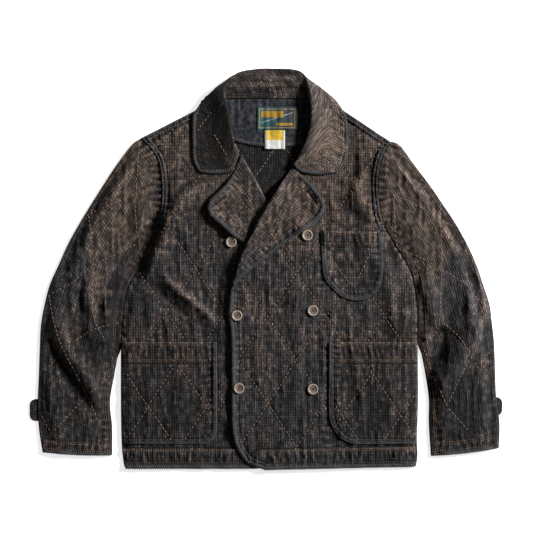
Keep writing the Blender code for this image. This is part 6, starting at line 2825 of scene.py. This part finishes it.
@dataclass(frozen=True)
class Tape:
    """White cotton tape with a plain yellow block."""

    name: str = "tape"
    block_low: float = 0.247
    block_left: float = 0.0005
    block_right: float = 0.033
    white: tuple[float, float, float] = (0.62, 0.62, 0.60)
    yellow: tuple[float, float, float] = (0.60, 0.40, 0.045)

    def material(self) -> bpy.types.Material:
        """The finish."""
        board = Board(self.name)
        place = board.cloth_map()
        x, y, _ = board.split(place)
        inside_x = x.eased(self.block_left, self.block_left + 0.0003) * (
            1.0 - x.eased(self.block_right, self.block_right + 0.0003))
        block = y.eased(self.block_low, self.block_low + 0.0004) * inside_x
        threads = board.noise(place, 2600.0, 1.0)
        colour = board.mixed(block, self.white, self.yellow)
        board.bumped(threads, 0.0001)
        return board.finished(board.mixed(threads * 0.25, colour, (0.6, 0.6, 0.6), Blend.MULTIPLY), 0.85,
                              Specular_IOR_Level=0.2)


FINISHES = [
    Sashiko(), Lining(), Horn(), Tape(),
    Woven("label", tuple(value * MM for value in LABEL_BOX)),
    Spun("quilting_thread", (0.100, 0.064, 0.044), (0.300, 0.200, 0.135)),
    Spun("seam_thread", (0.030, 0.029, 0.031), (0.150, 0.140, 0.138)),
    Spun("rust_thread", (0.070, 0.044, 0.030), (0.230, 0.145, 0.095)),
    Spun("edge_thread", (0.020, 0.020, 0.022), (0.074, 0.076, 0.082)),
    Spun("border_thread", (0.018, 0.018, 0.020), (0.074, 0.072, 0.074)),
]


@dataclass
class Studio:
    """The floor, the lights and the camera straight above."""

    height: float = 2.814
    middle: tuple[float, float] = (0.00095, 0.00485)
    surface: float = 0.01
    key_from: tuple[float, float, float] = (5.1, 2.3, 2.7)
    key_size: float = 1.3
    key_watts: float = 930.0
    fill: float = 0.075
    lens: float = 100.0
    sensor: float = 36.0
    floor_size: float = 24.0
    floor_glow: float = 0.75

    def build(self) -> None:
        """Sets the whole studio up."""
        self.floor()
        self.camera()
        self.lamp("key", self.key_from, self.key_size, self.key_watts)
        world = bpy.data.worlds.new("studio")
        world.use_nodes = True
        back = world.node_tree.nodes["Background"]
        back.inputs["Color"].default_value = (1.0, 1.0, 1.0, 1.0)
        back.inputs["Strength"].default_value = self.fill
        bpy.context.scene.world = world
        bpy.context.scene.view_settings.view_transform = "Standard"

    def floor(self) -> None:
        """A plain pale floor."""
        bpy.ops.mesh.primitive_plane_add(size=self.floor_size, location=(0, 0, 0))
        floor = bpy.context.object
        floor.name = "floor"
        board = Board("floor")
        floor.data.materials.append(board.finished(
            (0.86, 0.86, 0.86), 0.9, Emission_Color=(1.0, 1.0, 1.0, 1.0),
            Emission_Strength=self.floor_glow, Specular_IOR_Level=0.1))
        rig.stage(floor)

    def camera(self) -> None:
        """The camera, straight above the jacket."""
        lens = bpy.data.cameras.new("camera")
        lens.lens, lens.sensor_width = self.lens, self.sensor
        camera = bpy.data.objects.new("camera", lens)
        camera.location = (*self.middle, self.height + self.surface)
        bpy.context.scene.collection.objects.link(camera)
        bpy.context.scene.camera = camera

    def lamp(self, name: str, spot: tuple[float, float, float], size: float, watts: float) -> None:
        """One soft light that faces the jacket."""
        light = bpy.data.lights.new(name, "AREA")
        light.energy, light.size = watts, size
        lamp = bpy.data.objects.new(name, light)
        lamp.location = spot
        lamp.rotation_euler = (-lamp.location).to_track_quat("-Z", "Y").to_euler()
        bpy.context.scene.collection.objects.link(lamp)


def main() -> None:
    """Builds the jacket piece by piece, dresses it and sets it up for its picture."""
    logging.basicConfig(level=logging.INFO, format="%(name)s: %(message)s")
    room = Workroom()
    room.finishes = {Finish(finish.name): finish.material() for finish in FINISHES}
    collar = Collar(room)
    for part in (Body(room), Lapels(room), Pockets(room), Sleeves(room), collar, Neck(room),
                 Sewing(room, collar), Buttons(room)):
        part.build()
        part.dress()
        log.info("%s done", type(part).__name__)
    Studio().build()
    sizes = {"cad": CAD_BOUNDS, "visual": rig.bounds()}
    with open("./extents.json", "w", encoding="utf-8") as out:
        json.dump({key: [list(map(float, corner)) for corner in box] for key, box in sizes.items()}, out)


if __name__ == "__main__":
    main()
